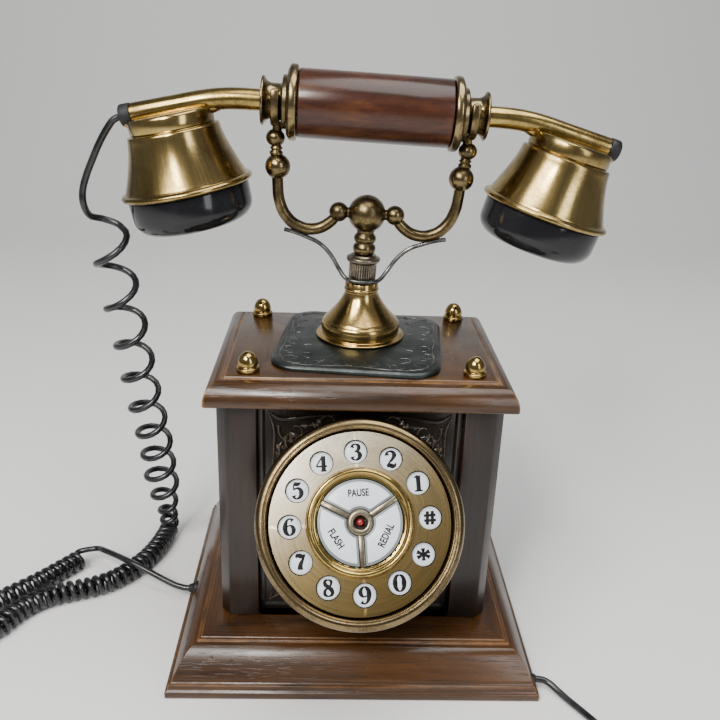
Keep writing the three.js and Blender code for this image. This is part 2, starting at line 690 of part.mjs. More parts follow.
// Housing: a pan behind the bezel, on a neck that stands on the front panel.
const panTop = bezelBack - gap;
const pan = turned([
  [0, -housingDepth], [panRadius - housingTaper, -housingDepth], [panRadius, panTop - 2],
  [panRadius, panTop], [0, panTop],
], 36);
const panHollow = turned([
  [0, -housingDepth + 2], [panRadius - housingTaper - 2, -housingDepth + 2], [panRadius - 2.5, panTop - 2],
  [panRadius - 2.5, 2 * panRadius], [0, 2 * panRadius],
], 36);
const toDial = new THREE.Matrix4().makeRotationX(-(Math.PI / 2 - dialTilt));
toDial.multiply(new THREE.Matrix4().makeTranslation(0, -dialY, -dialHeight));
function levelDrum(radius, front, back) {
  const geometry = drum(radius, 0, back - front, 24).rotateX(-Math.PI / 2);
  return geometry.translate(0, front, dialHeight - neckDrop).applyMatrix4(toDial);
}
const neckFront = dialY - housingDepth / 2;
const neckBack = panelFront - gap;
const housing = cut(
  join(pan, levelDrum(housingNeckRadius, neckFront, neckBack)),
  panHollow,
  levelDrum(housingNeckRadius - 3, neckFront - 1, neckBack + 1),
);
add(dial, 'dial_housing', 'blackPlastic', housing);

// ---------------------------------------------------------------- inside the box
const standoff = 4;
const boardBottom = baseBoardThickness + standoff;
const boardSolid = join(
  block(96, 62, 1.6, 0, 4, boardBottom),
  block(12, 8, standoff, -36, -18, boardBottom - standoff + gap),
  block(12, 8, standoff, 36, 26, boardBottom - standoff + gap),
  drum(14, boardBottom + 1, boardBottom + 12, 20).translate(26, 6, 0),
  block(16, 14, 9, -28, 14, boardBottom + 1),
);
add(group, 'main_board', 'board', boardSolid);

const rodFoot = columnTop - rodLength * Math.cos(lean);
const switchTop = rodFoot - gap;
const switchHeight = 12;
const switchBody = join(
  block(26, 12, switchHeight, 0, columnY, switchTop - switchHeight),
  block(26, 3, capBottom - gap - switchTop + switchHeight, 0, columnY + 10.5, switchTop - switchHeight),
  block(26, 12, 3, 0, columnY + 6, switchTop - switchHeight),
);
add(group, 'hook_switch', 'blackPlastic', switchBody);

const springBottom = capBottom + 2;
const springTop = plateTop - 1;
const spring = turnedRing([
  [springBore, springBottom], [springRadius, springBottom], [springRadius, springTop],
  [springBore, springTop],
], 16);
add(group, 'return_spring', 'steel', spring, 0, columnY, 0);

// ---------------------------------------------------------------- cords
// Grommets in the plinth's sides.
function grommet(name, [x, y, z], side, bore) {
  const sleeve = alongX(turnedRing([
    [grommetRadius, -8], [grommetRadius, -2.4], [grommetFlange, -2.4], [grommetFlange, 0],
    [bore + 0.9, 3.4], [bore, 3.4], [bore, -8],
  ], 16)).translate(-grommetRecess, 0, 0);
  add(group, name, 'blackPlastic', side < 0 ? sleeve.rotateZ(Math.PI) : sleeve, x, y, z);
}
grommet('handset_cord_grommet', handsetCordEntry, -1, handsetWire / 2 + gap);
grommet('line_cord_grommet', lineCordExit, 1, lineWire / 2 + gap);

// Handset cord: a plain lead, the hanging curls, the closed curls on the table, and a plain tail.
const leadRoute = [[-128.3, 5.5, 291.9], [-131.5, 5.5, 290], [-135.6, 5.5, 284.5], [-139.5, 5.5, 278],
  [-143.1, 5.5, 270.8], [-147.2, 5.5, 262], [-150, 5.6, 253.5], [-150.2, 5.8, 246], [-148, 6, 240.6]];
const hangRoute = [[-140, 6, 240], [-137.9, 7.5, 222], [-135.7, 12, 192.5], [-133.5, 18, 167],
  [-132.5, 25, 141.4], [-130.8, 31, 117.2], [-129.3, 37, 96.7], [-128.6, 43, 78.4], [-128.5, 48, 59.7],
  [-127.8, 52.5, 42.6], [-127.2, 56.5, 26], [-127.2, 59, 17.5]];
const floorRoute = [[-127.6, 61.5, 8.5], [-128, 57, 6.8], [-130, 44, 6.8], [-134, 29, 6.8], [-141, 15, 6.8],
  [-151, 2, 6.8], [-163, -6, 6.8], [-176, -11, 6.8], [-190, -18, 6.8], [-201, -30, 6.8], [-206.5, -42, 6.8],
  [-213, -51, 6.8], [-222, -53, 6.8], [-229, -46, 6.8], [-228, -35, 6.8], [-219, -24, 6.8],
  [-208, -13, 6.8], [-197, -1, 6.8], [-187, 12, 6.8], [-177.5, 25, 6.8]];
const tailRoute = [[-176.6, 27, 8.2], [-173.5, 28.4, 9.8], [-168.5, 26.5, 12.5], [-162, 20.5, 15.4],
  [-152, 12, 17.6], [-141, 5, 17.6], [-130, 0, 15.2], [-119, -4.6, 12.2], [-111, -7.6, 10.1],
  [-104.5, -9, 9.1], [-102.2, -9, 9]];
add(group, 'handset_cord_lead', 'cord', barAlong(curveThrough(leadRoute), handsetWire / 2, 8));
add(group, 'handset_cord_hang', 'cord', barAlong(curveThrough(hangRoute), curlRadius, 16, 10));
add(group, 'handset_cord_lying', 'cord', barAlong(curveThrough(floorRoute), tightCurlRadius, 36, 10));
add(group, 'handset_cord_tail', 'cord', barAlong(curveThrough(tailRoute), handsetWire / 2, 12));

// Line cord: out along the table, with the spare length in a round coil, and its plug on that.
const lineRoute = [[102.2, -80, 5], [106, -80.4, 4.7], [109.5, -82.2, 3.9], [113.5, -86.8, 2.6],
  [118, -93, 2], [125.5, -104, 2], [133, -116, 2], [140, -128, 2], [145.3, -139.5, 2], [147.3, -151, 2]];
add(group, 'line_cord', 'cord', barAlong(curveThrough(lineRoute), lineWire / 2, 12));
const coilHalf = 2 * lineWire;
const coilTurn = turnedRing([
  [lineCoilRadius - coilHalf, 0.1], [lineCoilRadius + coilHalf, 0.1],
  [lineCoilRadius + coilHalf, 2 * coilHalf - 3], [lineCoilRadius + coilHalf - 3, 2 * coilHalf],
  [lineCoilRadius - coilHalf + 3, 2 * coilHalf], [lineCoilRadius - coilHalf, 2 * coilHalf - 3],
], 24);
const coilX = 147.3 + lineWire / 2 + gap + lineCoilRadius + coilHalf;
const coilY = -158;
add(group, 'line_cord_coil', 'cord', coilTurn, coilX, coilY, 0);
add(group, 'line_cord_plug', 'whitePlastic', join(
  block(9.6, 21, 6.5, 0, 0, 0),
  block(3.2, 12, 1.6, 0, 2, 6.4),
), coilX + lineCoilRadius, coilY, 2 * coilHalf + gap);

export default group;
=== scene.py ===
# A push-button table telephone in the old style: a wooden box on a moulded plinth, a round dial of
# keys, and a brass column whose cradle holds a wood and brass handset. Metres, +Z up, dial side -Y.
import bpy
import bmesh
import math
from mathutils import Matrix, Vector


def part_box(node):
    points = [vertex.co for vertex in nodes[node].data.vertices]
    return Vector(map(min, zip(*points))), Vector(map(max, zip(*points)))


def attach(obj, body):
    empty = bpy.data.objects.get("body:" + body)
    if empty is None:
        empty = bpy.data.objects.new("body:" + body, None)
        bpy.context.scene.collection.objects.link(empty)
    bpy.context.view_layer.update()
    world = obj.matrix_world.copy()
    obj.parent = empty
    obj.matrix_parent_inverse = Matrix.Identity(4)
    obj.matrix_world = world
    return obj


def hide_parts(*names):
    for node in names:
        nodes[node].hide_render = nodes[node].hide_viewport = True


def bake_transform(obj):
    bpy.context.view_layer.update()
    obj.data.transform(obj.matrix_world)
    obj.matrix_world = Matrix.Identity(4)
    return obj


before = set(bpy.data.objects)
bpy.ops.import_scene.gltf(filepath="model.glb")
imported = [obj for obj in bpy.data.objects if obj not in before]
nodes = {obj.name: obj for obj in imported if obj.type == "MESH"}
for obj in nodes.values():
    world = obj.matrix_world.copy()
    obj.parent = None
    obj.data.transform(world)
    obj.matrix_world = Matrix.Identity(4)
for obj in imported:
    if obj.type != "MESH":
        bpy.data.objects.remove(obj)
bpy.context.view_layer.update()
bpy.ops.object.select_all(action="DESELECT")

# ------------------------------------------------------------ camera, floor and light
# A table-top view from a little above, and a pale sweep under three soft lamps.
turn_right, look_down, head_tilt = math.radians(2.19), math.radians(21.97), math.radians(2.11)
camera = bpy.data.objects.new("camera", bpy.data.cameras.new("camera"))
bpy.context.collection.objects.link(camera)
camera.data.lens = 40.95
camera.data.sensor_width = 36
camera.data.clip_start = 0.02
camera.matrix_world = (Matrix.Translation((-0.0162, -0.4350, 0.3380))
                       @ Matrix.Rotation(-turn_right, 4, "Z")
                       @ Matrix.Rotation(math.pi / 2 - look_down, 4, "X")
                       @ Matrix.Rotation(head_tilt, 4, "Z"))
bpy.context.scene.camera = camera


def new_material(name, **settings):
    """A material with one Principled shader, whose plain settings are given by socket name."""
    material = bpy.data.materials.new(name)
    material.use_nodes = True
    shader = material.node_tree.nodes["Principled BSDF"]
    for socket, value in settings.items():
        shader.inputs[socket.replace("_", " ")].default_value = value
    return material, material.node_tree, shader


def put(tree, kind, inputs=None, **settings):
    """Adds one node. An input is a value or the socket that feeds it."""
    made = tree.nodes.new("ShaderNode" + kind)
    for setting, value in settings.items():
        setattr(made, setting, value)
    for socket, value in (inputs or {}).items():
        if isinstance(value, bpy.types.NodeSocket):
            tree.links.new(value, made.inputs[socket])
        else:
            made.inputs[socket].default_value = value
    return made


def ramp(tree, factor, *stops):
    """A colour ramp whose stops are (place, colour or grey)."""
    made = put(tree, "ValToRGB", {"Fac": factor})
    elements = made.color_ramp.elements
    while len(elements) < len(stops):
        elements.new(0.5)
    for element, (place, colour) in zip(elements, stops):
        element.position = place
        element.color = (*colour, 1) if isinstance(colour, tuple) else (colour,) * 3 + (1,)
    return made.outputs["Color"]


def mix(tree, factor, below, above, way="MIX"):
    """Mixes two colours, or two greys, by a factor."""
    made = put(tree, "Mix", {0: factor}, data_type="RGBA", blend_type=way)
    for socket, value in ((6, below), (7, above)):
        if isinstance(value, bpy.types.NodeSocket):
            tree.links.new(value, made.inputs[socket])
        else:
            made.inputs[socket].default_value = ((*value, 1) if isinstance(value, tuple)
                                                 else (value,) * 3 + (1,))
    return made.outputs[2]


def sums(tree, way, *values):
    """One arithmetic step on one or two values."""
    return put(tree, "Math", dict(enumerate(values)), operation=way).outputs[0]


def lamp(name, place, aim, size, power, colour):
    light = bpy.data.lights.new(name, "AREA")
    light.shape = "RECTANGLE"
    light.size, light.size_y = size
    light.energy = power
    light.color = colour
    stand = bpy.data.objects.new(name, light)
    bpy.context.collection.objects.link(stand)
    stand.location = place
    stand.rotation_euler = (Vector(aim) - Vector(place)).to_track_quat("-Z", "Y").to_euler()


lamp("window", (-0.75, -0.85, 1.25), (0, 0, 0.15), (0.55, 0.75), 18, (1.0, 0.98, 0.95))
lamp("strip", (-0.30, -0.78, 0.86), (-0.02, 0, 0.20), (0.16, 0.30), 8.0, (1.0, 0.98, 0.95))
lamp("ceiling", (0.25, -0.15, 1.5), (0, 0, 0.1), (1.1, 0.9), 17, (1.0, 0.98, 0.96))
lamp("fill", (0.75, -1.0, 0.62), (0, 0, 0.15), (0.30, 0.8), 4, (0.94, 0.97, 1.0))
world = bpy.data.worlds.new("studio")
bpy.context.scene.world = world
world.use_nodes = True
world.node_tree.nodes["Background"].inputs["Color"].default_value = (0.80, 0.84, 0.90, 1)
world.node_tree.nodes["Background"].inputs["Strength"].default_value = 0.24

bpy.ops.mesh.primitive_plane_add(size=5, location=(0, -0.9, 0))
sweep = bpy.context.object
sweep.name = "floor_sweep"
bpy.ops.object.mode_set(mode="EDIT")
bpy.ops.mesh.select_all(action="DESELECT")
bpy.ops.object.mode_set(mode="OBJECT")
for edge in sweep.data.edges:
    ends = [sweep.data.vertices[v].co.y for v in edge.vertices]
    edge.select = min(ends) > 2.4
bpy.ops.object.mode_set(mode="EDIT")
bpy.ops.mesh.select_mode(type="EDGE")
bpy.ops.mesh.extrude_region_move(TRANSFORM_OT_translate={"value": (0, 0, 3)})
bpy.ops.object.mode_set(mode="OBJECT")
bend = sweep.modifiers.new("bend", "BEVEL")
bend.width = 0.7
bend.segments = 16
bpy.ops.object.modifier_apply(modifier="bend")
bpy.ops.object.shade_smooth()
paper, _, paper_shader = new_material("pale_paper", Roughness=0.85)
paper_shader.inputs["Base Color"].default_value = (0.76, 0.76, 0.75, 1)
sweep.data.materials.append(paper)

# ------------------------------------------------------------ handset cord
# One black curly cord of 3.8 mm wire: a plain lead from the receiver's tube, stretched curls that
# hang beside the box, closed curls on the table, and a plain tail into the plinth's left side.
handset_wire = 0.0038
open_curl, closed_curl = 0.0096, 0.0048          # helix radii
open_pitch, hanging_loss, closing_loss = 0.0300, 0.0140, 0.0108   # pitch at the top, and its losses
lead_route = [(-0.1283, 0.0055, 0.2919), (-0.1315, 0.0055, 0.2900), (-0.1356, 0.0055, 0.2845),
              (-0.1395, 0.0055, 0.2780), (-0.1431, 0.0055, 0.2708), (-0.1472, 0.0055, 0.2620),
              (-0.1500, 0.0056, 0.2535), (-0.1502, 0.0058, 0.2460)]
hang_route = [(-0.1400, 0.0060, 0.2400), (-0.1379, 0.0075, 0.2220), (-0.1357, 0.0120, 0.1925),
              (-0.1335, 0.0180, 0.1670), (-0.1325, 0.0250, 0.1414), (-0.1308, 0.0310, 0.1172),
              (-0.1293, 0.0370, 0.0967), (-0.1286, 0.0430, 0.0784), (-0.1285, 0.0480, 0.0597),
              (-0.1278, 0.0525, 0.0426), (-0.1272, 0.0565, 0.0260), (-0.1272, 0.0590, 0.0175)]
floor_route = [(-0.1276, 0.0615, 0.0085), (-0.1280, 0.0570, 0.0068), (-0.1300, 0.0440, 0.0068),
               (-0.1340, 0.0290, 0.0068), (-0.1410, 0.0150, 0.0068), (-0.1510, 0.0020, 0.0068),
               (-0.1630, -0.0060, 0.0068), (-0.1760, -0.0110, 0.0068), (-0.1900, -0.0180, 0.0068),
               (-0.2010, -0.0300, 0.0068), (-0.2065, -0.0420, 0.0068), (-0.2130, -0.0510, 0.0068),
               (-0.2220, -0.0530, 0.0068), (-0.2290, -0.0460, 0.0068), (-0.2280, -0.0350, 0.0068),
               (-0.2190, -0.0240, 0.0068), (-0.2080, -0.0130, 0.0068), (-0.1970, -0.0010, 0.0068),
               (-0.1870, 0.0120, 0.0068), (-0.1775, 0.0250, 0.0068)]
tail_route = [(-0.1685, 0.0265, 0.0125), (-0.1620, 0.0205, 0.0154),
              (-0.1520, 0.0120, 0.0176), (-0.1410, 0.0050, 0.0176), (-0.1300, 0.0000, 0.0152),
              (-0.1190, -0.0046, 0.0122), (-0.1110, -0.0076, 0.0101), (-0.1045, -0.0090, 0.0091),
              (-0.1015, -0.0090, 0.0090)]


def smooth_route(points, step):
    """Points about a step apart, on one smooth curve through the given ones."""
    points = [Vector(p) for p in points]
    ends = [2 * points[0] - points[1], *points, 2 * points[-1] - points[-2]]
    found = []
    for a, b, c, d in zip(ends, ends[1:], ends[2:], ends[3:]):
        count = max(1, round((c - b).length / step))
        for i in range(count):
            t = i / count
            found.append(0.5 * (2 * b + (c - a) * t + (2 * a - 5 * b + 4 * c - d) * t ** 2
                                + (3 * b - a - 3 * c + d) * t ** 3))
    return [*found, points[-1]]


def path_length(points):
    return sum((b - a).length for a, b in zip(points, points[1:]))


def curls(step=0.00025, first_phase=math.radians(205), widest_gap=math.radians(20)):
    """The helix round the hanging and the lying route, with its turns closing towards the table."""
    hanging = path_length([Vector(p) for p in hang_route])
    axis = smooth_route(hang_route + floor_route, step)
    across = Vector((1, 0, 0))
    phase = kept_phase = first_phase
    walked = 0
    turns = []
    for here, after in zip(axis, axis[1:]):
        along = (after - here).normalized()
        across = (across - along * across.dot(along)).normalized()
        share = walked / hanging
        closing = min(1, max(0, (share - 0.93) / 0.12))
        pitch = open_pitch - hanging_loss * min(1, share) - closing_loss * closing
        narrowing = min(1, max(0, (share - 0.84) / 0.16))
        radius = open_curl + (closed_curl - open_curl) * narrowing ** 2 * (3 - 2 * narrowing)
        if phase == first_phase or phase - kept_phase >= widest_gap:
            turned = across * math.cos(phase) + along.cross(across) * math.sin(phase)
            turns.append(here + turned * radius)
            kept_phase = phase
        moved = (after - here).length
        walked += moved
        phase += 2 * math.pi * moved / pitch
    return turns


def lay_cord(name, points, thickness):
    """A round tube with capped ends along close points."""
    line = bpy.data.curves.new(name, "CURVE")
    line.dimensions = "3D"
    line.bevel_depth = thickness / 2
    line.bevel_resolution = 3
    line.use_fill_caps = True
    spline = line.splines.new("POLY")
    spline.points.add(len(points) - 1)
    for knot, point in zip(spline.points, points):
        knot.co = (*point, 1)
    tube = bpy.data.objects.new(name, line)
    bpy.context.collection.objects.link(tube)
    bpy.ops.object.select_all(action="DESELECT")
    tube.select_set(True)
    bpy.context.view_layer.objects.active = tube
    bpy.ops.object.convert(target="MESH")
    tube = bpy.context.object
    tube.name = tube.data.name = name
    bpy.ops.object.shade_smooth_by_angle(angle=math.radians(50))
    return tube


def noise(tree, place, scale, detail, rough=0.5, bent=0.0):
    """A cloudy grey. detail counts its finer layers, rough is their strength, and bent twists it."""
    return put(tree, "TexNoise", {"Vector": place, "Scale": scale, "Detail": detail, "Roughness": rough,
                                  "Distortion": bent}).outputs[0]


def emboss(tree, shader, height, strength, distance):
    """Fine relief that only tilts the light."""
    bump = put(tree, "Bump", {"Height": height, "Strength": strength, "Distance": distance})
    tree.links.new(bump.outputs[0], shader.inputs["Normal"])


def make_cord_jacket():
    """Glossy black jacket with finger marks that dull it in patches."""
    material, tree, shader = new_material("cord_jacket", Base_Color=(0.010, 0.010, 0.012, 1),
                                          Specular_IOR_Level=0.55)
    place = put(tree, "TexCoord").outputs["Object"]
    marks = noise(tree, place, 90, 5)
    fine = noise(tree, place, 1500, 2)
    tree.links.new(ramp(tree, marks, (0.35, 0.17), (0.7, 0.36)), shader.inputs["Roughness"])
    tree.links.new(ramp(tree, marks, (0.3, (0.006, 0.006, 0.007)), (0.8, (0.020, 0.020, 0.023))),
                   shader.inputs["Base Color"])
    emboss(tree, shader, fine, 0.08, 0.0002)
    return material


cord_jacket = make_cord_jacket()
around = curls()
lead_in = smooth_route([*lead_route, *around[0:7:2]], 0.0012)[:-1]
tail_out = smooth_route([*around[-8:-1:2], *tail_route], 0.0015)
handset_path = [*lead_in, *around[6:-8], *tail_out]
handset_cord = lay_cord("handset_cord", handset_path, handset_wire)
handset_cord.data.materials.append(cord_jacket)
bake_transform(handset_cord)
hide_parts("handset_cord_lead", "handset_cord_hang", "handset_cord_lying", "handset_cord_tail")

# ------------------------------------------------------------ line cord, its coil and modular plug
# A 3.8 mm black telephone lead from the plinth's right front corner. The spare length is wound into a
# round coil of four layers, and the clear plug at its end lies on the turns.
line_wire = 0.0038
coil_low, coil_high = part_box("line_cord_coil")
coil_middle = Vector(((coil_low.x + coil_high.x) / 2, (coil_low.y + coil_high.y) / 2, 0))
plug_low, plug_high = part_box("line_cord_plug")
line_route = [(0.1015, -0.0800, 0.0050), (0.1060, -0.0804, 0.0047), (0.1095, -0.0822, 0.0039),
              (0.1135, -0.0868, 0.0026),
              (0.1180, -0.0930, 0.0020), (0.1255, -0.1040, 0.0020), (0.1330, -0.1160, 0.0020),
              (0.1400, -0.1280, 0.0020), (0.1453, -0.1395, 0.0020), (0.1480, -0.1490, 0.0020)]


def coil_turns(layers=4, rows=4, steps=24, middle_radius=0.021):
    """Each layer spirals in or out, and its last turn climbs to the next."""
    outer = middle_radius + line_wire * (rows - 1) / 2
    found = []
    for i in range(int((layers * rows - 1) * steps) + 1):
        turn = i / steps
        layer, part = divmod(turn, rows)
        inward = min(1, part / (rows - 1))
        if layer % 2:
            inward = 1 - inward
        radius = outer - line_wire * (rows - 1) * inward
        height = 0.00205 + line_wire * (layer + max(0, part - (rows - 1)))
        angle = math.pi + 2 * math.pi * turn
        found.append(coil_middle + Vector((radius * math.cos(angle), radius * math.sin(angle), height)))
    return found


plug_rear = Vector(((plug_low.x + plug_high.x) / 2, plug_low.y, plug_low.z + 0.0033))
plug_lead = [coil_middle + Vector(p) for p in (
    (-0.0262, -0.0050, 0.0142), (-0.0225, -0.0140, 0.0160), (-0.0140, -0.0222, 0.0176),
    (-0.0020, -0.0262, 0.0182), (0.0095, -0.0246, 0.0184), (0.0175, -0.0192, 0.0186))]
wound = coil_turns()
line_path = [*smooth_route([*line_route, *wound[2:4]], 0.002)[:-1], *wound[3:-1],
             *smooth_route([wound[-1], *plug_lead, plug_rear - Vector((0, 0.0022, 0)), plug_rear], 0.0015)]
line_cord = lay_cord("line_cord_lead", line_path, line_wire)
line_cord.data.materials.append(cord_jacket)
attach(line_cord, "cabinet_body")
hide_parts("line_cord", "line_cord_coil")

# ------------------------------------------------------------ plinth and base board
# Solid walnut-stained rails with mitred corners, moulded with one plane: a foot, a small step, a
# broad rounded shoulder and a square fillet round the flat that carries the box. Rubbed with wax.
_, plinth_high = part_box("plinth")
plinth_x, plinth_y, plinth_top = plinth_high.x, plinth_high.y, plinth_high.z
plinth_moulding = 0.018


def begin(name):
    """Takes the new primitive as a piece, with nothing else selected."""
    piece = bpy.context.object
    piece.name = piece.data.name = name
    return piece


def take(piece):
    bpy.ops.object.select_all(action="DESELECT")
    piece.select_set(True)
    bpy.context.view_layer.objects.active = piece


def rise(name, rings, sides=96):
    """Extrudes a ring edge level by level. A ring is (radius, height), or (half x, half y, height) with
    four sides. A path that ends where it began is a closed section, and any other gets both ends filled."""
    rings = [(r[0], *r) if len(r) == 2 else r for r in rings]
    if sides == 4:
        bpy.ops.mesh.primitive_plane_add(size=2, enter_editmode=True)
        bpy.ops.mesh.delete(type="ONLY_FACE")
    else:
        bpy.ops.mesh.primitive_circle_add(vertices=sides, radius=1, enter_editmode=True)
    piece = begin(name)
    bpy.ops.mesh.select_mode(type="VERT")
    bpy.ops.mesh.select_all(action="SELECT")
    bpy.ops.transform.resize(value=(rings[0][0], rings[0][1], 1), center_override=(0, 0, 0))
    bpy.ops.transform.translate(value=(0, 0, rings[0][2]))
    for below, ring in zip(rings, rings[1:]):
        bpy.ops.mesh.extrude_region_move(TRANSFORM_OT_translate={"value": (0, 0, ring[2] - below[2])})
        bpy.ops.transform.resize(value=(ring[0] / below[0], ring[1] / below[1], 1),
                                 center_override=(0, 0, ring[2]))
    bpy.ops.mesh.select_all(action="SELECT")
    bpy.ops.mesh.remove_doubles(threshold=0.000002)
    if rings[0] != rings[-1]:
        bpy.ops.mesh.fill_holes(sides=0)
    bpy.ops.mesh.select_all(action="SELECT")
    bpy.ops.mesh.normals_make_consistent(inside=False)
    bpy.ops.object.mode_set(mode="OBJECT")
    return piece


def soften(piece, width, segments=2, smooth=35):
    """Rounds the arrises, then smooths every edge flatter than the given angle."""
    take(piece)
    if width:
        arris = piece.modifiers.new("arris", "BEVEL")
        arris.width = width
        arris.segments = segments
        arris.limit_method = "ANGLE"
        arris.angle_limit = math.radians(38)
        bpy.ops.object.modifier_apply(modifier="arris")
    bpy.ops.object.shade_smooth_by_angle(angle=math.radians(smooth))
    return piece


def settle(piece, matrix):
    """Puts a piece in its place and leaves its object at the origin."""
    take(piece)
    piece.matrix_world = matrix @ piece.matrix_world
    bpy.ops.object.transform_apply(location=True, rotation=True, scale=True)
    return piece


def finish_piece(piece, material, body, slot, *replaced):
    piece.data.materials.clear()
    piece.data.materials.append(material)
    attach(piece, body)
    if replaced:
        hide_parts(*replaced)
    return piece


def quarter(start, reach, height, steps, convex=True):
    """Points of a quarter round from the given (inset, height), going in and up."""
    found = []
    for i in range(1, steps + 1):
        angle = i / steps * math.pi / 2
        share_in, share_up = (1 - math.cos(angle), math.sin(angle))
        if not convex:
            share_in, share_up = share_up, share_in
        found.append((start[0] + reach * share_in, start[1] + height * share_up))
    return found


def group_of(name, inputs, outputs):
    """A shader node group with named sockets: (name, kind, default)."""
    tree = bpy.data.node_groups.new(name, "ShaderNodeTree")
    for label, kind, value in inputs:
        socket = tree.interface.new_socket(label, in_out="INPUT", socket_type="NodeSocket" + kind)
        if value is not None:
            socket.default_value = value
    for label, kind in outputs:
        tree.interface.new_socket(label, in_out="OUTPUT", socket_type="NodeSocket" + kind)
    return tree, tree.nodes.new("NodeGroupInput").outputs, tree.nodes.new("NodeGroupOutput").inputs


def make_wood_grain():
    """Stained grain along X: broad figure, fine streaks and dark pores."""
    tree, given, out = group_of(
        "wood_grain",
        [("Vector", "Vector", None), ("Dark", "Color", (0, 0, 0, 1)), ("Light", "Color", (1, 1, 1, 1))],
        [("Color", "Color"), ("Pores", "Float")])
    figure_place = put(tree, "Mapping", {"Vector": given["Vector"], "Scale": (5, 42, 42)}).outputs[0]
    figure = noise(tree, figure_place, 1, 7, 0.62, 0.8)
    streak_place = put(tree, "Mapping", {"Vector": given["Vector"], "Scale": (18, 520, 520)}).outputs[0]
    streaks = noise(tree, streak_place, 1, 4)
    pore_place = put(tree, "Mapping", {"Vector": given["Vector"], "Scale": (90, 1500, 1500)}).outputs[0]
    pores = noise(tree, pore_place, 1, 2)
    pore_mask = ramp(tree, pores, (0.30, 0.25), (0.42, 1.0))
    blend = sums(tree, "ADD", sums(tree, "MULTIPLY", figure, 0.68), sums(tree, "MULTIPLY", streaks, 0.32))
    stained = mix(tree, ramp(tree, blend, (0.36, 0.0), (0.64, 1.0)), given["Dark"], given["Light"])
    tree.links.new(mix(tree, 0.6, stained, pore_mask, "MULTIPLY"), out["Color"])
    tree.links.new(pore_mask, out["Pores"])
    return tree


def make_rubbed_edges():
    """Mask of arrises where hands and dusters have rubbed the finish through, broken up by noise."""
    tree, given, out = group_of("rubbed_edges", [("Vector", "Vector", None), ("Width", "Float", 0.0015)],
                                [("Mask", "Float")])
    rounded = put(tree, "Bevel", {"Radius": given["Width"]}, samples=6).outputs[0]
    plain = put(tree, "NewGeometry").outputs["Normal"]
    alike = put(tree, "VectorMath", {0: rounded, 1: plain}, operation="DOT_PRODUCT").outputs["Value"]
    edge = ramp(tree, alike, (0.90, 1.0), (0.995, 0.0))
    worn = noise(tree, given["Vector"], 55, 8, 0.7)
    tree.links.new(mix(tree, 1.0, edge, ramp(tree, worn, (0.38, 0.05), (0.62, 1.0)), "MULTIPLY"), out["Mask"])
    return tree


wood_grain, rubbed_edges = make_wood_grain(), make_rubbed_edges()


def make_wood(name, dark, light, worn, rough=(0.20, 0.42), mitre=None, upright=False, dents=0.0, edge=0.0016):
    """Stained and waxed wood. mitre is half the difference of a frame's sides, so that the grain of each
    rail runs along it, and upright turns the grain along Z."""
    material, tree, shader = new_material(name, Coat_Weight=0.18, Coat_Roughness=0.16, Specular_IOR_Level=0.4)
    place = put(tree, "TexCoord").outputs["Object"]
    if upright:
        place = put(tree, "Mapping", {"Vector": place, "Rotation": (0, math.pi / 2, 0)}).outputs[0]
    if mitre is not None:
        axes = put(tree, "SeparateXYZ", {0: place}).outputs
        crossed = put(tree, "CombineXYZ", {0: axes[1], 1: axes[0], 2: axes[2]}).outputs[0]
        past = sums(tree, "SUBTRACT", sums(tree, "ABSOLUTE", axes[0]), sums(tree, "ABSOLUTE", axes[1]))
        side_rail = sums(tree, "GREATER_THAN", past, mitre)
        chosen = put(tree, "Mix", {0: side_rail}, data_type="VECTOR")
        tree.links.new(place, chosen.inputs[4])
        tree.links.new(crossed, chosen.inputs[5])
        place = chosen.outputs[1]
    grain = put(tree, "Group", {"Vector": place, "Dark": (*dark, 1), "Light": (*light, 1)},
                node_tree=wood_grain)
    rubbed = put(tree, "Group", {"Vector": place, "Width": edge}, node_tree=rubbed_edges)
    colour = mix(tree, rubbed.outputs["Mask"], grain.outputs["Color"], worn)
    grime_noise = noise(tree, place, 16, 6)
    grime = ramp(tree, grime_noise, (0.32, 0.62), (0.60, 1.0))
    tree.links.new(mix(tree, 1.0, colour, grime, "MULTIPLY"), shader.inputs["Base Color"])
    tree.links.new(ramp(tree, grime_noise, (0.30, rough[1]), (0.68, rough[0])), shader.inputs["Roughness"])
    pits = put(tree, "TexVoronoi", {"Vector": place, "Scale": 75, "Randomness": 1.0}).outputs["Distance"]
    dented = ramp(tree, pits, (0.03, 0.0), (0.12, 1.0))
    height = mix(tree, dents, grain.outputs["Pores"], dented, "MULTIPLY")
    emboss(tree, shader, height, 0.22, 0.0004)
    return material


walnut_dark, walnut_light, walnut_worn = (0.014, 0.0055, 0.002), (0.085, 0.034, 0.008), (0.36, 0.155, 0.032)
plinth_wood = make_wood("plinth_walnut", walnut_dark, walnut_light, walnut_worn,
                        mitre=plinth_x - plinth_y, dents=0.8)
profile = [(0.0006, 0), (0, 0.0006), (0, 0.0040), (0.0006, 0.0046), (0.0014, 0.0052), (0.0016, 0.0058),
           (0.0017, 0.0078)]
profile += quarter(profile[-1], 0.0021, 0.0026, 4, convex=False)
profile += [(0.0040, 0.0108)]
for i in range(1, 13):
    part = i / 12
    profile.append((0.0040 + 0.0116 * part, 0.0108 + 0.0142 * math.sin(part * math.pi / 2)))
profile += [(0.0162, 0.0252), (0.0163, 0.0262), (0.0170, 0.0264), (0.0178, 0.0264), (plinth_moulding, 0.0267),
            (plinth_moulding + 0.0002, plinth_top)]
cavity_x, cavity_y = 0.0680, 0.0440
plinth_rings = [(plinth_x - inset, plinth_y - inset, height) for inset, height in profile]
plinth_rings += [(cavity_x, cavity_y, plinth_top), (cavity_x, cavity_y, 0), plinth_rings[0]]
plinth = soften(rise("moulded_plinth", plinth_rings, 4), 0.0003, 2, 50)
finish_piece(plinth, plinth_wood, "cabinet_body", "walnut", "plinth")

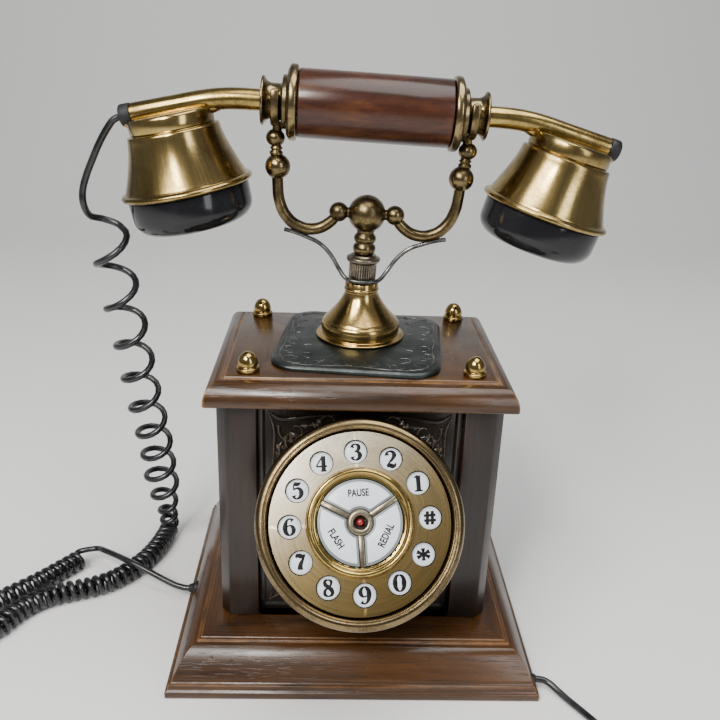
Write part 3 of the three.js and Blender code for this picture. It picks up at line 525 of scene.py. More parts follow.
board_wood = make_wood("board_wood", (0.02, 0.012, 0.008), (0.07, 0.045, 0.03), (0.12, 0.08, 0.05))
_, board_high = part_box("base_board")
board = rise("screwed_base_board", [(board_high.x - 0.001, board_high.y - 0.001, 0),
                                    (board_high.x, board_high.y, 0.001),
                                    (board_high.x, board_high.y, 0.006)], 4)
finish_piece(soften(board, 0.0004), board_wood, "cabinet_body", "dark_wood", "base_board")

# ------------------------------------------------------------ box
# Four posts with chamfered corners, glued to the sides and the back. Stained much darker than the
# mouldings, with the grain upright and the stain rubbed brown along the chamfers.
box_low, box_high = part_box("cabinet")
post_width, post_depth, post_chamfer = 0.021, 0.018, 0.005


def block(name, middle, size):
    """A cuboid of a given size about its middle."""
    bpy.ops.mesh.primitive_cube_add(size=1, location=middle)
    cuboid = begin(name)
    cuboid.scale = size
    bpy.ops.object.transform_apply(location=True, rotation=True, scale=True)
    return cuboid


box = block("post_box", (0, 0, (box_low.z + box_high.z) / 2), box_high - box_low)


def pick(piece, kind, chosen):
    """Selects the faces, edges or vertices that a test of their middle and normal picks, in edit mode."""
    take(piece)
    bpy.ops.object.mode_set(mode="EDIT")
    bpy.ops.mesh.select_mode(type=kind)
    bpy.ops.mesh.select_all(action="DESELECT")
    shape = bmesh.from_edit_mesh(piece.data)
    parts = {"VERT": shape.verts, "EDGE": shape.edges, "FACE": shape.faces}[kind]
    for part in parts:
        ends = [part] if kind == "VERT" else part.verts
        middle = sum((v.co for v in ends), Vector()) / len(ends)
        facing = part.normal if kind != "EDGE" else (part.verts[1].co - part.verts[0].co).normalized()
        part.select_set(chosen(middle, facing))
    bmesh.update_edit_mesh(piece.data)


pick(box, "EDGE", lambda middle, along: abs(along.z) > 0.9)
bpy.ops.mesh.bevel(offset=post_chamfer, segments=1, affect="EDGES")
for side in (-1, 1):
    bpy.ops.mesh.select_all(action="SELECT")
    bpy.ops.mesh.bisect(plane_co=(side * (box_high.x - post_width), 0, 0), plane_no=(1, 0, 0))
bpy.ops.object.mode_set(mode="OBJECT")
pick(box, "FACE", lambda middle, facing: facing.y < -0.9 and abs(middle.x) < 0.03)
bpy.ops.mesh.extrude_region_move(TRANSFORM_OT_translate={"value": (0, post_depth, 0)})
bpy.ops.object.mode_set(mode="OBJECT")
post_wood = make_wood("post_walnut", (0.006, 0.003, 0.0018), (0.026, 0.012, 0.006), (0.085, 0.042, 0.018),
                      upright=True, rough=(0.26, 0.48), edge=0.0012)
finish_piece(soften(box, 0.0007, 2), post_wood, "cabinet_body", "walnut", "cabinet")

# ------------------------------------------------------------ front panel and its carving
# A nearly black panel set behind the posts. Low-relief leaf scrolls are carved in its four corners
# and waxed, so that only their crests catch the light.
panel_low, panel_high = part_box("front_panel")
panel_wood = make_wood("ebonised_panel", (0.006, 0.005, 0.004), (0.020, 0.015, 0.011), (0.085, 0.055, 0.028),
                       upright=True, rough=(0.24, 0.40), edge=0.0009)
panel = block("carved_panel", (panel_low + panel_high) / 2, panel_high - panel_low)
pick(panel, "FACE", lambda middle, facing: facing.y < -0.9)
bpy.ops.mesh.inset(thickness=0.0025, depth=0)
bpy.ops.mesh.inset(thickness=0.0012, depth=-0.0010)
bpy.ops.object.mode_set(mode="OBJECT")
finish_piece(soften(panel, 0.0003), panel_wood, "cabinet_body", "dark_wood", "front_panel")


def bend_bars(name, strokes, radius, resolution, steps):
    """Round bars bent smoothly along strokes of (x, y, z, width share), as one mesh."""
    line = bpy.data.curves.new(name, "CURVE")
    line.dimensions = "3D"
    line.bevel_depth = radius
    line.bevel_resolution = resolution
    line.resolution_u = steps
    line.use_fill_caps = True
    for stroke in strokes:
        spline = line.splines.new("BEZIER")
        spline.bezier_points.add(len(stroke) - 1)
        for knot, (x, y, z, width) in zip(spline.bezier_points, stroke):
            knot.co = (x, y, z)
            knot.radius = width
            knot.handle_left_type = knot.handle_right_type = "AUTO"
    bars = bpy.data.objects.new(name, line)
    bpy.context.collection.objects.link(bars)
    take(bars)
    bpy.ops.object.convert(target="MESH")
    return begin(name)


def relief(name, strokes, thickness, flat, resolution=3):
    """Rounded ridges along strokes of (x, y, width share), squeezed to a low relief. One mesh, in XY."""
    level = [[(x, y, 0, width) for x, y, width in stroke] for stroke in strokes]
    ridge = bend_bars(name, level, thickness, resolution, 8)
    ridge.scale = (1, 1, flat)
    bpy.ops.object.transform_apply(location=True, rotation=True, scale=True)
    bpy.ops.object.shade_smooth()
    return ridge


def scroll(x, y, start, sweep, radius, end_radius, width=1.0, steps=9):
    """A stroke that winds inwards round (x, y), thinning to its tip. Angles in degrees, lengths in metres."""
    found = []
    for i in range(steps + 1):
        part = i / steps
        angle = math.radians(start + sweep * part)
        reach = radius + (end_radius - radius) * part
        found.append((x + reach * math.cos(angle), y + reach * math.sin(angle), width * (1 - 0.75 * part)))
    return found


def leaf(x, y, angle, length, width):
    """One pointed lobe: a ridge that swells and ends in a point, slightly bent."""
    turn = math.radians(angle)
    found = []
    for part, swell, aside in ((0, 0.25, 0), (0.3, 1, 0.06), (0.65, 0.8, 0.05), (1, 0.08, -0.04)):
        along, across = length * part, length * aside
        found.append((x + along * math.cos(turn) - across * math.sin(turn),
                      y + along * math.sin(turn) + across * math.cos(turn), width * swell))
    return found


def corner_carving():
    """Foliage for the corner at the origin, growing towards +X and +Y."""
    strokes = [scroll(0.0155, 0.0130, 200, -300, 0.0085, 0.0022, 1.0),
               scroll(0.0085, 0.0285, 250, 290, 0.0062, 0.0016, 0.9),
               scroll(0.0340, 0.0080, 170, 270, 0.0050, 0.0014, 0.8),
               [(0.002, 0.002, 0.4), (0.008, 0.006, 1.0), (0.016, 0.006, 1.1), (0.026, 0.0045, 0.8),
                (0.040, 0.0035, 0.2)],
               [(0.002, 0.003, 0.4), (0.005, 0.012, 1.0), (0.005, 0.022, 0.9), (0.0035, 0.040, 0.2)]]
    for x, y, angle, length in (
            (0.013, 0.014, 20, 0.010), (0.013, 0.015, 55, 0.011), (0.012, 0.015, 90, 0.010),
            (0.025, 0.008, 35, 0.009), (0.028, 0.006, 70, 0.007), (0.006, 0.026, 50, 0.009),
            (0.005, 0.033, 75, 0.008), (0.036, 0.007, 25, 0.008), (0.019, 0.010, -5, 0.009),
            (0.009, 0.020, 100, 0.008), (0.021, 0.017, 60, 0.008), (0.014, 0.026, 35, 0.008)):
        strokes.append(leaf(x, y, angle, length, 1.25))
    return strokes


carving_wood = make_wood("carved_foliage", (0.008, 0.006, 0.005), (0.045, 0.034, 0.024), (0.24, 0.17, 0.09),
                         rough=(0.14, 0.26), edge=0.0007)
for corner, (right, up) in enumerate(((-1, -1), (1, -1), (1, 1), (-1, 1)), 1):
    foliage = relief(f"carving_{corner}", corner_carving(), 0.00115, 1.0)
    here = Matrix.Translation((right * (panel_high.x - 0.0035), panel_low.y + 0.0010,
                               panel_high.z - 0.0035 if up > 0 else panel_low.z + 0.0035))
    settle(foliage, here @ Matrix.Rotation(math.pi / 2, 4, "X") @ Matrix.Diagonal((-right, -up, 1, 1)))
    if right * up < 0:
        bpy.ops.object.mode_set(mode="EDIT")
        bpy.ops.mesh.select_all(action="SELECT")
        bpy.ops.mesh.normals_make_consistent(inside=False)
        bpy.ops.object.mode_set(mode="OBJECT")
    finish_piece(foliage, carving_wood, "cabinet_body", "dark_wood")

# ------------------------------------------------------------ top cap and acorn nuts
# One thick board with a quarter-round edge and a bead beside the flat, held down by four brass acorn
# nuts on long bolts. The rounded edge is worn amber and shines.
cap_low, cap_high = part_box("top_cap")
cap_thickness = cap_high.z - cap_low.z
profile = [(0.0018, 0), (0.0006, 0.0004), (0, 0.0012), (0, 0.0022)]
profile += quarter(profile[-1], 0.0086, 0.0108, 12)
profile += [(0.0088, 0.0127), (0.0093, 0.0124), (0.0098, 0.0126)]
profile += quarter(profile[-1], 0.0014, 0.0017, 5)
profile += [(0.0118, cap_thickness)]
cap_wood = make_wood("cap_walnut", (0.016, 0.007, 0.003), (0.088, 0.037, 0.010), (0.40, 0.18, 0.038),
                     mitre=cap_high.x - cap_high.y, dents=0.7, rough=(0.18, 0.36), edge=0.0022)
cap = rise("moulded_cap", [(cap_high.x - inset, cap_high.y - inset, cap_low.z + height)
                           for inset, height in profile], 4)
finish_piece(soften(cap, 0.0002, 2, 50), cap_wood, "cabinet_body", "walnut", "top_cap")


def make_lathe_marks():
    """Fine marks in a metal, round its own Z axis or along it: a grey that varies with the angle times
    Around, and with height and radius times Along."""
    tree, given, out = group_of("tool_marks", [("Vector", "Vector", None), ("Around", "Float", 1.0),
                                               ("Along", "Float", 1000.0)], [("Grey", "Float")])
    axes = put(tree, "SeparateXYZ", {0: given["Vector"]}).outputs
    angle = sums(tree, "ABSOLUTE", sums(tree, "ARCTAN2", axes[1], axes[0]))
    flat = put(tree, "CombineXYZ", {0: axes[0], 1: axes[1]}).outputs[0]
    radius = put(tree, "VectorMath", {0: flat}, operation="LENGTH").outputs["Value"]
    lines = put(tree, "CombineXYZ", {0: sums(tree, "MULTIPLY", angle, given["Around"]),
                                     1: sums(tree, "MULTIPLY", axes[2], given["Along"]),
                                     2: sums(tree, "MULTIPLY", radius, given["Along"])}).outputs[0]
    tree.links.new(noise(tree, lines, 1, 5, 0.65), out["Grey"])
    return tree


def make_patina():
    """Mask of dull brown tarnish in soft patches with finer specks."""
    tree, given, out = group_of("tarnish", [("Vector", "Vector", None), ("Scale", "Float", 40.0)],
                                [("Mask", "Float")])
    cloud = noise(tree, given["Vector"], given["Scale"], 7, 0.6, 0.4)
    specks = noise(tree, given["Vector"], 700, 2)
    both = sums(tree, "ADD", sums(tree, "MULTIPLY", cloud, 0.8), sums(tree, "MULTIPLY", specks, 0.2))
    tree.links.new(ramp(tree, both, (0.42, 0.0), (0.62, 1.0)), out["Mask"])
    return tree


tool_marks, tarnish = make_lathe_marks(), make_patina()


def make_brass(name, bright, dull, at=None, around=1.0, along=1100.0, rough=(0.16, 0.34), patches=38,
               mark_depth=0.25):
    """Lacquered brass in the frame of a piece (its Z is the axis it was turned or brushed on)."""
    material, tree, shader = new_material(name, Metallic=1.0)
    place = put(tree, "TexCoord").outputs["Object"]
    if at is not None:
        turn = at.to_euler()
        place = put(tree, "Mapping", {"Vector": place, "Location": tuple(at.translation),
                                      "Rotation": tuple(turn)}, vector_type="TEXTURE").outputs[0]
    grey = put(tree, "Group", {"Vector": place, "Around": around, "Along": along},
               node_tree=tool_marks).outputs["Grey"]
    patina = put(tree, "Group", {"Vector": place, "Scale": patches}, node_tree=tarnish).outputs["Mask"]
    tone = mix(tree, patina, bright, dull)
    lined = mix(tree, 0.55, tone, ramp(tree, grey, (0.3, 0.55), (0.7, 1.0)), "MULTIPLY")
    tree.links.new(lined, shader.inputs["Base Color"])
    rubbed = sums(tree, "ADD", sums(tree, "MULTIPLY", grey, 0.5), sums(tree, "MULTIPLY", patina, 0.5))
    tree.links.new(ramp(tree, rubbed, (0.2, rough[0]), (0.75, rough[1])), shader.inputs["Roughness"])
    emboss(tree, shader, grey, mark_depth, 0.00004)
    return material


gold, olive = (0.52, 0.36, 0.115), (0.22, 0.145, 0.05)
nut_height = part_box("acorn_nut_1")[1].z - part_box("acorn_nut_1")[0].z
nut_rings = [(0.0056, 0), (0.0060, 0.0004), (0.0060, 0.0021), (0.0056, 0.0025), (0.0049, 0.0027),
             (0.0047, 0.0031), (0.0052, 0.0036)]
for i in range(13):
    angle = i / 13 * math.pi / 2
    nut_rings.append((0.0052 * math.cos(angle), 0.0040 + (nut_height - 0.0040) * math.sin(angle)))
nut_rings.append((0.0002, nut_height))
acorn = soften(rise("acorn", nut_rings, 40), 0.00015, 2, 50)
for number in range(1, 5):
    low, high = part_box(f"acorn_nut_{number}")
    take(acorn)
    bpy.ops.object.duplicate()
    nut = begin(f"acorn_{number}")
    middle = Matrix.Translation(((low.x + high.x) / 2, (low.y + high.y) / 2, low.z - 0.0003))
    settle(nut, middle)
    nut_brass = make_brass(f"nut_brass_{number}", gold, olive, middle, rough=(0.10, 0.28), patches=150)
    finish_piece(nut, nut_brass, "cabinet_body", "antique_brass", f"acorn_nut_{number}")
bpy.data.objects.remove(acorn)

# ------------------------------------------------------------ engraved top plate
# A blued steel plate with round corners and a bevelled edge, laid a little askew under the column.
# Leaf scrolls are engraved all round it, and the cuts show pale.
plate_low, plate_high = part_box("top_plate")
plate_yaw, plate_corner = math.radians(-6), 0.015
plate_x, plate_y, plate_middle_y = 0.045, 0.046, -0.0025
plate_thickness = plate_high.z - plate_low.z
bpy.ops.mesh.primitive_plane_add(size=2, enter_editmode=True)
plate = begin("engraved_plate")
bpy.ops.transform.resize(value=(plate_x, plate_y, 1), center_override=(0, 0, 0))
bpy.ops.mesh.bevel(offset=plate_corner, segments=10, affect="VERTICES")
bpy.ops.mesh.select_all(action="SELECT")
bpy.ops.mesh.extrude_region_move(TRANSFORM_OT_translate={"value": (0, 0, plate_thickness - 0.0011)})
bpy.ops.mesh.inset(thickness=0.0011, depth=0.0009)
bpy.ops.mesh.inset(thickness=0.0005, depth=0.0002)
bpy.ops.object.mode_set(mode="OBJECT")
plate_place = (Matrix.Translation((0, plate_middle_y, plate_low.z - 0.0003))
               @ Matrix.Rotation(plate_yaw, 4, "Z"))


def make_blued_steel():
    material, tree, shader = new_material("blued_steel", Metallic=1.0)
    place = put(tree, "TexCoord").outputs["Object"]
    cloud = noise(tree, place, 45, 8, 0.65)
    grit = noise(tree, place, 900, 3)
    tone = ramp(tree, cloud, (0.35, (0.045, 0.052, 0.052)), (0.55, (0.085, 0.095, 0.093)),
                (0.72, (0.16, 0.170, 0.160)))
    tree.links.new(mix(tree, 0.5, tone, ramp(tree, grit, (0.35, 0.55), (0.65, 1.0)), "MULTIPLY"),
                   shader.inputs["Base Color"])
    tree.links.new(ramp(tree, cloud, (0.3, 0.46), (0.7, 0.30)), shader.inputs["Roughness"])
    emboss(tree, shader, grit, 0.15, 0.0001)
    return material


settle(soften(plate, 0.0002, 2, 30), plate_place)
finish_piece(plate, make_blued_steel(), "cabinet_body", "black_metal", "top_plate")
vines = []
for right in (-1, 1):
    for front in (-1, 1):
        def vine(x, y, start, sweep, radius, end_radius, width=1.0):
            bent = scroll(x, y, start, sweep, radius, end_radius, width)
            return [(right * px, front * py, w) for px, py, w in bent]
        vines += [vine(*curl) for curl in (
            (0.0335, 0.0340, 100, -330, 0.0062, 0.0015), (0.0215, 0.0375, 20, 300, 0.0048, 0.0012),
            (0.0100, 0.0355, 190, -280, 0.0046, 0.0012), (0.0375, 0.0215, 260, 300, 0.0048, 0.0012),
            (0.0350, 0.0085, 90, -290, 0.0052, 0.0014), (0.0265, 0.0290, 230, 250, 0.0042, 0.0012))]
        tendril = [(0.001, 0.040), (0.010, 0.0415), (0.020, 0.0425), (0.030, 0.0415), (0.0385, 0.0345),
                   (0.0415, 0.0240), (0.0405, 0.0120), (0.0415, 0.0010)]
        vines.append([(right * x, front * y, 0.8) for x, y in tendril])
        for x, y, angle in ((0.028, 0.040, 20), (0.016, 0.033, 60), (0.040, 0.030, -50), (0.033, 0.026, 10),
                            (0.040, 0.016, 110), (0.006, 0.038, 140), (0.030, 0.014, 200),
                            (0.024, 0.033, -30)):
            vines.append([(right * px, front * py, w) for px, py, w in leaf(x, y, angle, 0.0048, 1.3)])
engraving = relief("plate_engraving", vines, 0.00030, 0.6, resolution=1)
settle(engraving, plate_place @ Matrix.Translation((0, 0, plate_thickness)))


def make_mottled(name, scale, detail, tones, rough=None, **settings):
    """A plain finish whose colour, and whose roughness if given, wander with one noise."""
    material, tree, shader = new_material(name, **settings)
    cloud = noise(tree, put(tree, "TexCoord").outputs["Object"], scale, detail)
    tree.links.new(ramp(tree, cloud, *tones), shader.inputs["Base Color"])
    if rough:
        tree.links.new(ramp(tree, cloud, *rough), shader.inputs["Roughness"])
    return material


cut_steel = make_mottled("cut_steel", 130, 4, ((0.38, (0.05, 0.055, 0.055)), (0.62, (0.30, 0.30, 0.28))),
                         Metallic=1.0, Roughness=0.32)
finish_piece(engraving, cut_steel, "cabinet_body", "black_metal")

# ------------------------------------------------------------ column bell
# A spun brass bell with a rolled lip, standing on a thin ring. Its neck takes the knurled stem.
bell_low, bell_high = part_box("column_bell")
bell_middle = Matrix.Translation(((bell_low.x + bell_high.x) / 2, (bell_low.y + bell_high.y) / 2, bell_low.z))
bell_neck, bell_height = 0.0092, bell_high.z - bell_low.z
bell_rings = [(0.0246, 0), (0.0250, 0.0002), (0.0250, 0.0008), (0.0244, 0.0011), (0.0222, 0.0012),
              (0.0216, 0.0016), (0.0218, 0.0024), (0.0221, 0.0040), (0.0221, 0.0062), (0.0218, 0.0078),
              (0.0212, 0.0088), (0.0206, 0.0092), (0.0205, 0.0096)]
for i in range(1, 17):
    part = i / 16
    bell_rings.append((bell_neck + (0.0203 - bell_neck) * (1 - part) ** 1.45, 0.0098 + 0.0160 * part))
bell_rings += [(bell_neck, 0.0262), (bell_neck + 0.0005, 0.0266), (bell_neck + 0.0005, 0.0276),
               (bell_neck, 0.0280), (bell_neck, bell_height), (0.0050, bell_height), (0.0050, 0.0250),
               (0.0130, 0.0125), (0.0197, 0.0055), (0.0197, 0), (0.0246, 0)]
bell = settle(soften(rise("spun_bell", bell_rings, 128), 0.0001, 1, 45), bell_middle)
finish_piece(bell, make_brass("bell_brass", (0.60, 0.42, 0.155), (0.28, 0.185, 0.065), bell_middle,
                              rough=(0.13, 0.27), patches=60),
             "cabinet_body", "antique_brass", "column_bell")

# ------------------------------------------------------------ cradle stem
# The knurled nut and collar that screw onto the plunger rod. Dark bronze with bare crests.
cradle_lean = math.radians(2.2)
cradle_place = (Matrix.Translation((0, bell_middle.translation.y, bell_high.z + 0.0003))
                @ Matrix.Rotation(cradle_lean, 4, "Y"))
knurl_radius, knurl_height = 0.0076, 0.0112


def unite(name, pieces):
    """Joins the parts that are cast, brazed or screwed up as one."""
    bpy.ops.object.select_all(action="DESELECT")
    for piece in pieces:
        piece.select_set(True)
    bpy.context.view_layer.objects.active = pieces[0]
    bpy.ops.object.join()
    return begin(name)


flutes = 36
knurl = rise("knurl", [(0.0030, 0), (knurl_radius - 0.0006, 0), (knurl_radius, 0.0006),
                       (knurl_radius, knurl_height - 0.0006), (knurl_radius - 0.0006, knurl_height),
                       (0.0030, knurl_height)], sides=4 * flutes)


def in_flute(middle, facing):
    step = math.atan2(middle.y, middle.x) / (2 * math.pi) * flutes
    return abs(step - round(step)) < 0.13 and math.hypot(middle.x, middle.y) > 0.0065


pick(knurl, "VERT", in_flute)
bpy.ops.transform.resize(value=(0.93, 0.93, 1), center_override=(0, 0, 0))
bpy.ops.object.mode_set(mode="OBJECT")
take(knurl)
bpy.ops.object.shade_smooth_by_angle(angle=math.radians(20))
collar_rings = [(0.0030, 0), (0.0084, 0), (0.0091, 0.0005), (0.0093, 0.0012), (0.0093, 0.0020),
                (0.0090, 0.0026), (0.0078, 0.0030), (0.0072, 0.0034), (0.0068, 0.0040), (0.0030, 0.0040)]
collar = soften(rise("collar", [(radius, knurl_height + height) for radius, height in collar_rings], 72),
                0.0001)
rod = soften(rise("rod", [(0.0024, -0.0520), (0.0030, -0.0514), (0.0030, 0.0010)], 32), 0)
stem = settle(unite("knurled_stem", [knurl, collar, rod]), cradle_place)
stem_bronze = make_brass("stem_bronze", (0.30, 0.25, 0.19), (0.10, 0.085, 0.065), cradle_place,
                         rough=(0.26, 0.44), patches=120)
finish_piece(stem, stem_bronze, "cradle", "dark_brass", "cradle_stem")

# ------------------------------------------------------------ cradle yoke
# Hub ball, beads, two bent arms with balls, and two U forks, brazed into one and left to darken.
hub_height, hub_radius = 0.0377, 0.0097
grip_height, neck_radius, prong_height = 0.0925, 0.0090, 0.0070
fork_x = 0.05103
arm_x = fork_x - 0.0021


def orb(radius, place, stretch=(1, 1, 1)):
    bpy.ops.mesh.primitive_uv_sphere_add(segments=48, ring_count=24, radius=radius, location=place)
    made = begin("orb")
    made.scale = stretch
    bpy.ops.object.transform_apply(location=True, rotation=True, scale=True)
    bpy.ops.object.shade_smooth()
    return made


def bar(name, points, radius, resolution=8):
    """One round bar bent smoothly through points of (x, y, z, width share)."""
    made = bend_bars(name, [points], radius, resolution, 10)
    bpy.ops.object.shade_smooth_by_angle(angle=math.radians(40))
    return made


def make_fork(side):
    """Flat bar bent to a U round the spool neck, its prong tips rounded."""
    inner, thickness, width = neck_radius + 0.0003, 0.0031, 0.0044
    bpy.ops.mesh.primitive_plane_add(size=1, location=(0, inner + thickness / 2, 0), enter_editmode=True)
    made = begin("fork")
    bpy.ops.mesh.select_mode(type="VERT")
    bpy.ops.mesh.select_all(action="SELECT")
    bpy.ops.transform.resize(value=(width, thickness, 1), center_override=(0, inner + thickness / 2, 0))
    bpy.ops.mesh.spin(steps=28, angle=math.pi, center=(0, 0, 0), axis=(1, 0, 0))
    bpy.ops.object.mode_set(mode="OBJECT")
    for back in (-1, 1):
        pick(made, "FACE", lambda middle, facing: abs(middle.z) < 0.0004 and middle.y * back > 0
             and abs(facing.z) > 0.9)
        bpy.ops.mesh.extrude_region_move(TRANSFORM_OT_translate={"value": (0, 0, prong_height - 0.0012)})
        bpy.ops.mesh.extrude_region_move(TRANSFORM_OT_translate={"value": (0, 0, 0.0012)})
        bpy.ops.transform.resize(value=(0.6, 0.55, 1),
                                 center_override=(0, back * (inner + thickness / 2), prong_height))
        bpy.ops.object.mode_set(mode="OBJECT")
    take(made)
    bpy.ops.object.mode_set(mode="EDIT")
    bpy.ops.mesh.select_all(action="SELECT")
    bpy.ops.mesh.remove_doubles(threshold=0.00001)
    bpy.ops.mesh.fill_holes(sides=0)
    bpy.ops.mesh.normals_make_consistent(inside=False)
    bpy.ops.object.mode_set(mode="OBJECT")
    soften(made, 0.0008, 3, 45)
    return settle(made, Matrix.Translation((side * fork_x, 0, grip_height)))


bead_rings = [(0.0044, 0.0155), (0.0052, 0.0157), (0.0060, 0.0170), (0.0063, 0.0186), (0.0060, 0.0202),
              (0.0050, 0.0213), (0.0049, 0.0216), (0.0058, 0.0227), (0.0062, 0.0242), (0.0059, 0.0256),
              (0.0049, 0.0268), (0.0046, 0.0276), (0.0050, 0.0284), (0.0046, 0.0300), (0.0046, hub_height)]
# The arm's bends: inset from the fork's middle, height above the hub, width share.
arm_bends = ((0.0294, -0.0058, 1), (0.0209, -0.0102, 1.04), (0.0120, -0.0090, 1.04),
             (0.0052, -0.0036, 1.03), (0.0016, 0.0040, 1), (0.0004, 0.0120, 0.98), (0, 0.0220, 0.95))
cast = [soften(rise("beads", bead_rings, 48), 0, smooth=60), orb(hub_radius + 0.0005, (0, 0, hub_height))]
for side in (-1, 1):
    bead_x = side * (hub_radius + 0.0055)
    cast.append(bar("link", [(0, 0, hub_height, 1), (bead_x, 0, hub_height, 1)], 0.0029))
    cast.append(orb(0.0053, (bead_x, 0, hub_height)))
    cast.append(bar("arm", [(bead_x, 0, hub_height, 0.92)]
                    + [(side * (arm_x - inset), 0, hub_height + rise_by, width)
                       for inset, rise_by, width in arm_bends], 0.0031))
    cast.append(orb(0.0067, (side * arm_x, 0, hub_height + 0.0220)))
    joint_rings = [(0.0026, 0.0640), (0.0026, 0.0652), (0.0034, 0.0658), (0.0036, 0.0666), (0.0034, 0.0674),
                   (0.0027, 0.0679), (0.0027, 0.0684), (0.0033, 0.0689), (0.0033, 0.0694), (0.0026, 0.0700),
                   (0.0026, 0.0760), (0.0024, 0.0826)]
    cast.append(settle(soften(rise("finial", joint_rings, 40), 0, smooth=60),
                       Matrix.Translation((side * (arm_x + 0.0010), 0, 0))))
    cast.append(orb(0.0050, (side * (fork_x - 0.0004), 0, grip_height - 0.0182), (1, 1, 0.92)))
    cast.append(make_fork(side))
yoke = settle(unite("brazed_yoke", cast), cradle_place)
yoke_bronze = make_brass("yoke_bronze", (0.21, 0.155, 0.072), (0.070, 0.050, 0.026), cradle_place, around=2.0,
                         along=350.0, rough=(0.20, 0.38), patches=85, mark_depth=0.15)
finish_piece(yoke, yoke_bronze, "cradle", "dark_brass", "cradle_yoke")

# ------------------------------------------------------------ wire rest
# A 2 mm spring-steel wire bent round the front of the knurl, with two wings under the arms.
wire_front = -(knurl_radius + 0.0013)
wing = [(0.0050, wire_front * 0.86, 0.0016), (0.0093, -0.0044, 0.0022), (0.0130, -0.0012, 0.0060),
        (arm_x - 0.0306, 0, 0.0138), (arm_x - 0.0244, 0, 0.0196), (arm_x - 0.0169, 0, 0.0229),
        (arm_x - 0.0100, 0, 0.0252), (arm_x - 0.0046, 0, 0.0263)]
wire_points = [(-x, y, z, 1) for x, y, z in reversed(wing)] + [(0, wire_front, 0.0015, 1)]
wire_points += [(x, y, z, 1) for x, y, z in wing]
wire = settle(bar("bent_wire_rest", wire_points, 0.00118, 4), cradle_place)


def make_grey_steel(name, dark, light, rough):
    material, tree, shader = new_material(name, Metallic=1.0)
    place = put(tree, "TexCoord").outputs["Object"]
    cloud = noise(tree, place, 160, 6)
    tree.links.new(ramp(tree, cloud, (0.35, dark), (0.65, light)), shader.inputs["Base Color"])
    tree.links.new(ramp(tree, cloud, (0.3, rough[1]), (0.7, rough[0])), shader.inputs["Roughness"])
    emboss(tree, shader, cloud, 0.1, 0.0002)
    return material


wire_steel = make_grey_steel("wire_steel", (0.06, 0.06, 0.057), (0.20, 0.195, 0.18), (0.22, 0.38))
finish_piece(wire, wire_steel, "cradle", "steel", "wire_rest")

# ------------------------------------------------------------ handset grip
# A turned tube of figured hardwood, French-polished, threaded on the brass tube between its ferrules.
handset_place = cradle_place @ Matrix.Translation((0, 0, grip_height))
along_x = Matrix.Rotation(math.pi / 2, 4, "Y")
grip_half, grip_radius = 0.0395, 0.0173
grip = rise("turned_grip", [(0.0058, -grip_half), (grip_radius - 0.0006, -grip_half),
                            (grip_radius, -grip_half + 0.0006), (grip_radius + 0.0001, -0.013),
                            (grip_radius + 0.0001, 0.013), (grip_radius, grip_half - 0.0006),
                            (grip_radius - 0.0006, grip_half), (0.0058, grip_half),
                            (0.0058, -grip_half)], 128)


def make_rosewood():
    """Mottled reddish wood under a thick glossy finish, black in the figure, with pin holes and dents."""
    material, tree, shader = new_material("figured_rosewood", Coat_Weight=0.22, Coat_Roughness=0.12,
                                          Specular_IOR_Level=0.3)
    place = put(tree, "TexCoord").outputs["Object"]
    long_place = put(tree, "Mapping", {"Vector": place, "Scale": (0.30, 1, 1)}).outputs[0]
    cloud = noise(tree, long_place, 62, 7, 0.62, 0.2)
    grain = put(tree, "Group", {"Vector": place, "Dark": (0.012, 0.004, 0.003, 1),
                                "Light": (0.090, 0.028, 0.011, 1)}, node_tree=wood_grain)
    figure = ramp(tree, cloud, (0.36, (0.007, 0.003, 0.002)), (0.52, (0.032, 0.009, 0.004)),
                  (0.68, (0.14, 0.046, 0.009)))
    tree.links.new(mix(tree, 0.42, figure, grain.outputs["Color"]), shader.inputs["Base Color"])
    tree.links.new(ramp(tree, cloud, (0.3, 0.20), (0.7, 0.34)), shader.inputs["Roughness"])
    pits = put(tree, "TexVoronoi", {"Vector": place, "Scale": 95}).outputs["Distance"]
    waves = noise(tree, place, 120, 3)
    height = sums(tree, "ADD", sums(tree, "MULTIPLY", waves, 0.6), ramp(tree, pits, (0.04, 0.0), (0.12, 0.4)))
    emboss(tree, shader, height, 0.18, 0.0004)
    return material


settle(soften(grip, 0.0002, 2, 40), handset_place @ along_x)
finish_piece(grip, make_rosewood(), "handset", "rosewood", "handset_grip")

# ------------------------------------------------------------ handset ends
# On each side a spool ferrule, a bent brass tube with a black end plug, and a spun cup brazed under
# the tube, which holds a capsule behind a moulded black cap with sound holes.
spool_start = grip_half + 0.0003
tube_radius, tube_straight, tube_tail = 0.0055, 0.0660, 0.0335
tube_bend, bend_radius = math.radians(14.2), 0.105
bend_end = Vector((tube_straight + bend_radius * math.sin(tube_bend), 0,
                   -bend_radius * (1 - math.cos(tube_bend))))
spool_rings = [(0.0176, 0), (0.0187, 0.0004), (0.0190, 0.0012), (0.0190, 0.0032), (0.0187, 0.0040),
               (0.0180, 0.0044), (0.0174, 0.0044), (0.0170, 0.0050), (0.0162, 0.0052), (0.0142, 0.0052),
               (0.0136, 0.0056), (0.0136, 0.0072), (0.0131, 0.0078), (0.0102, 0.0080), (0.0093, 0.0084),
               (0.0090, 0.0092), (0.0090, 0.0136), (0.0094, 0.0149), (0.0102, 0.0161), (0.0112, 0.0169),
               (0.0120, 0.0172), (0.0123, 0.0176), (0.0123, 0.0182), (0.0120, 0.0186), (0.0058, 0.0186),
               (0.0058, 0), (0.0176, 0)]
cup_rings = [(0.0002, -0.0024), (0.0204, -0.0024), (0.0218, -0.0030), (0.0223, -0.0042), (0.0223, -0.0098),
             (0.0219, -0.0103), (0.0218, -0.0107), (0.0230, -0.0109), (0.0239, -0.0112), (0.0242, -0.0121)]
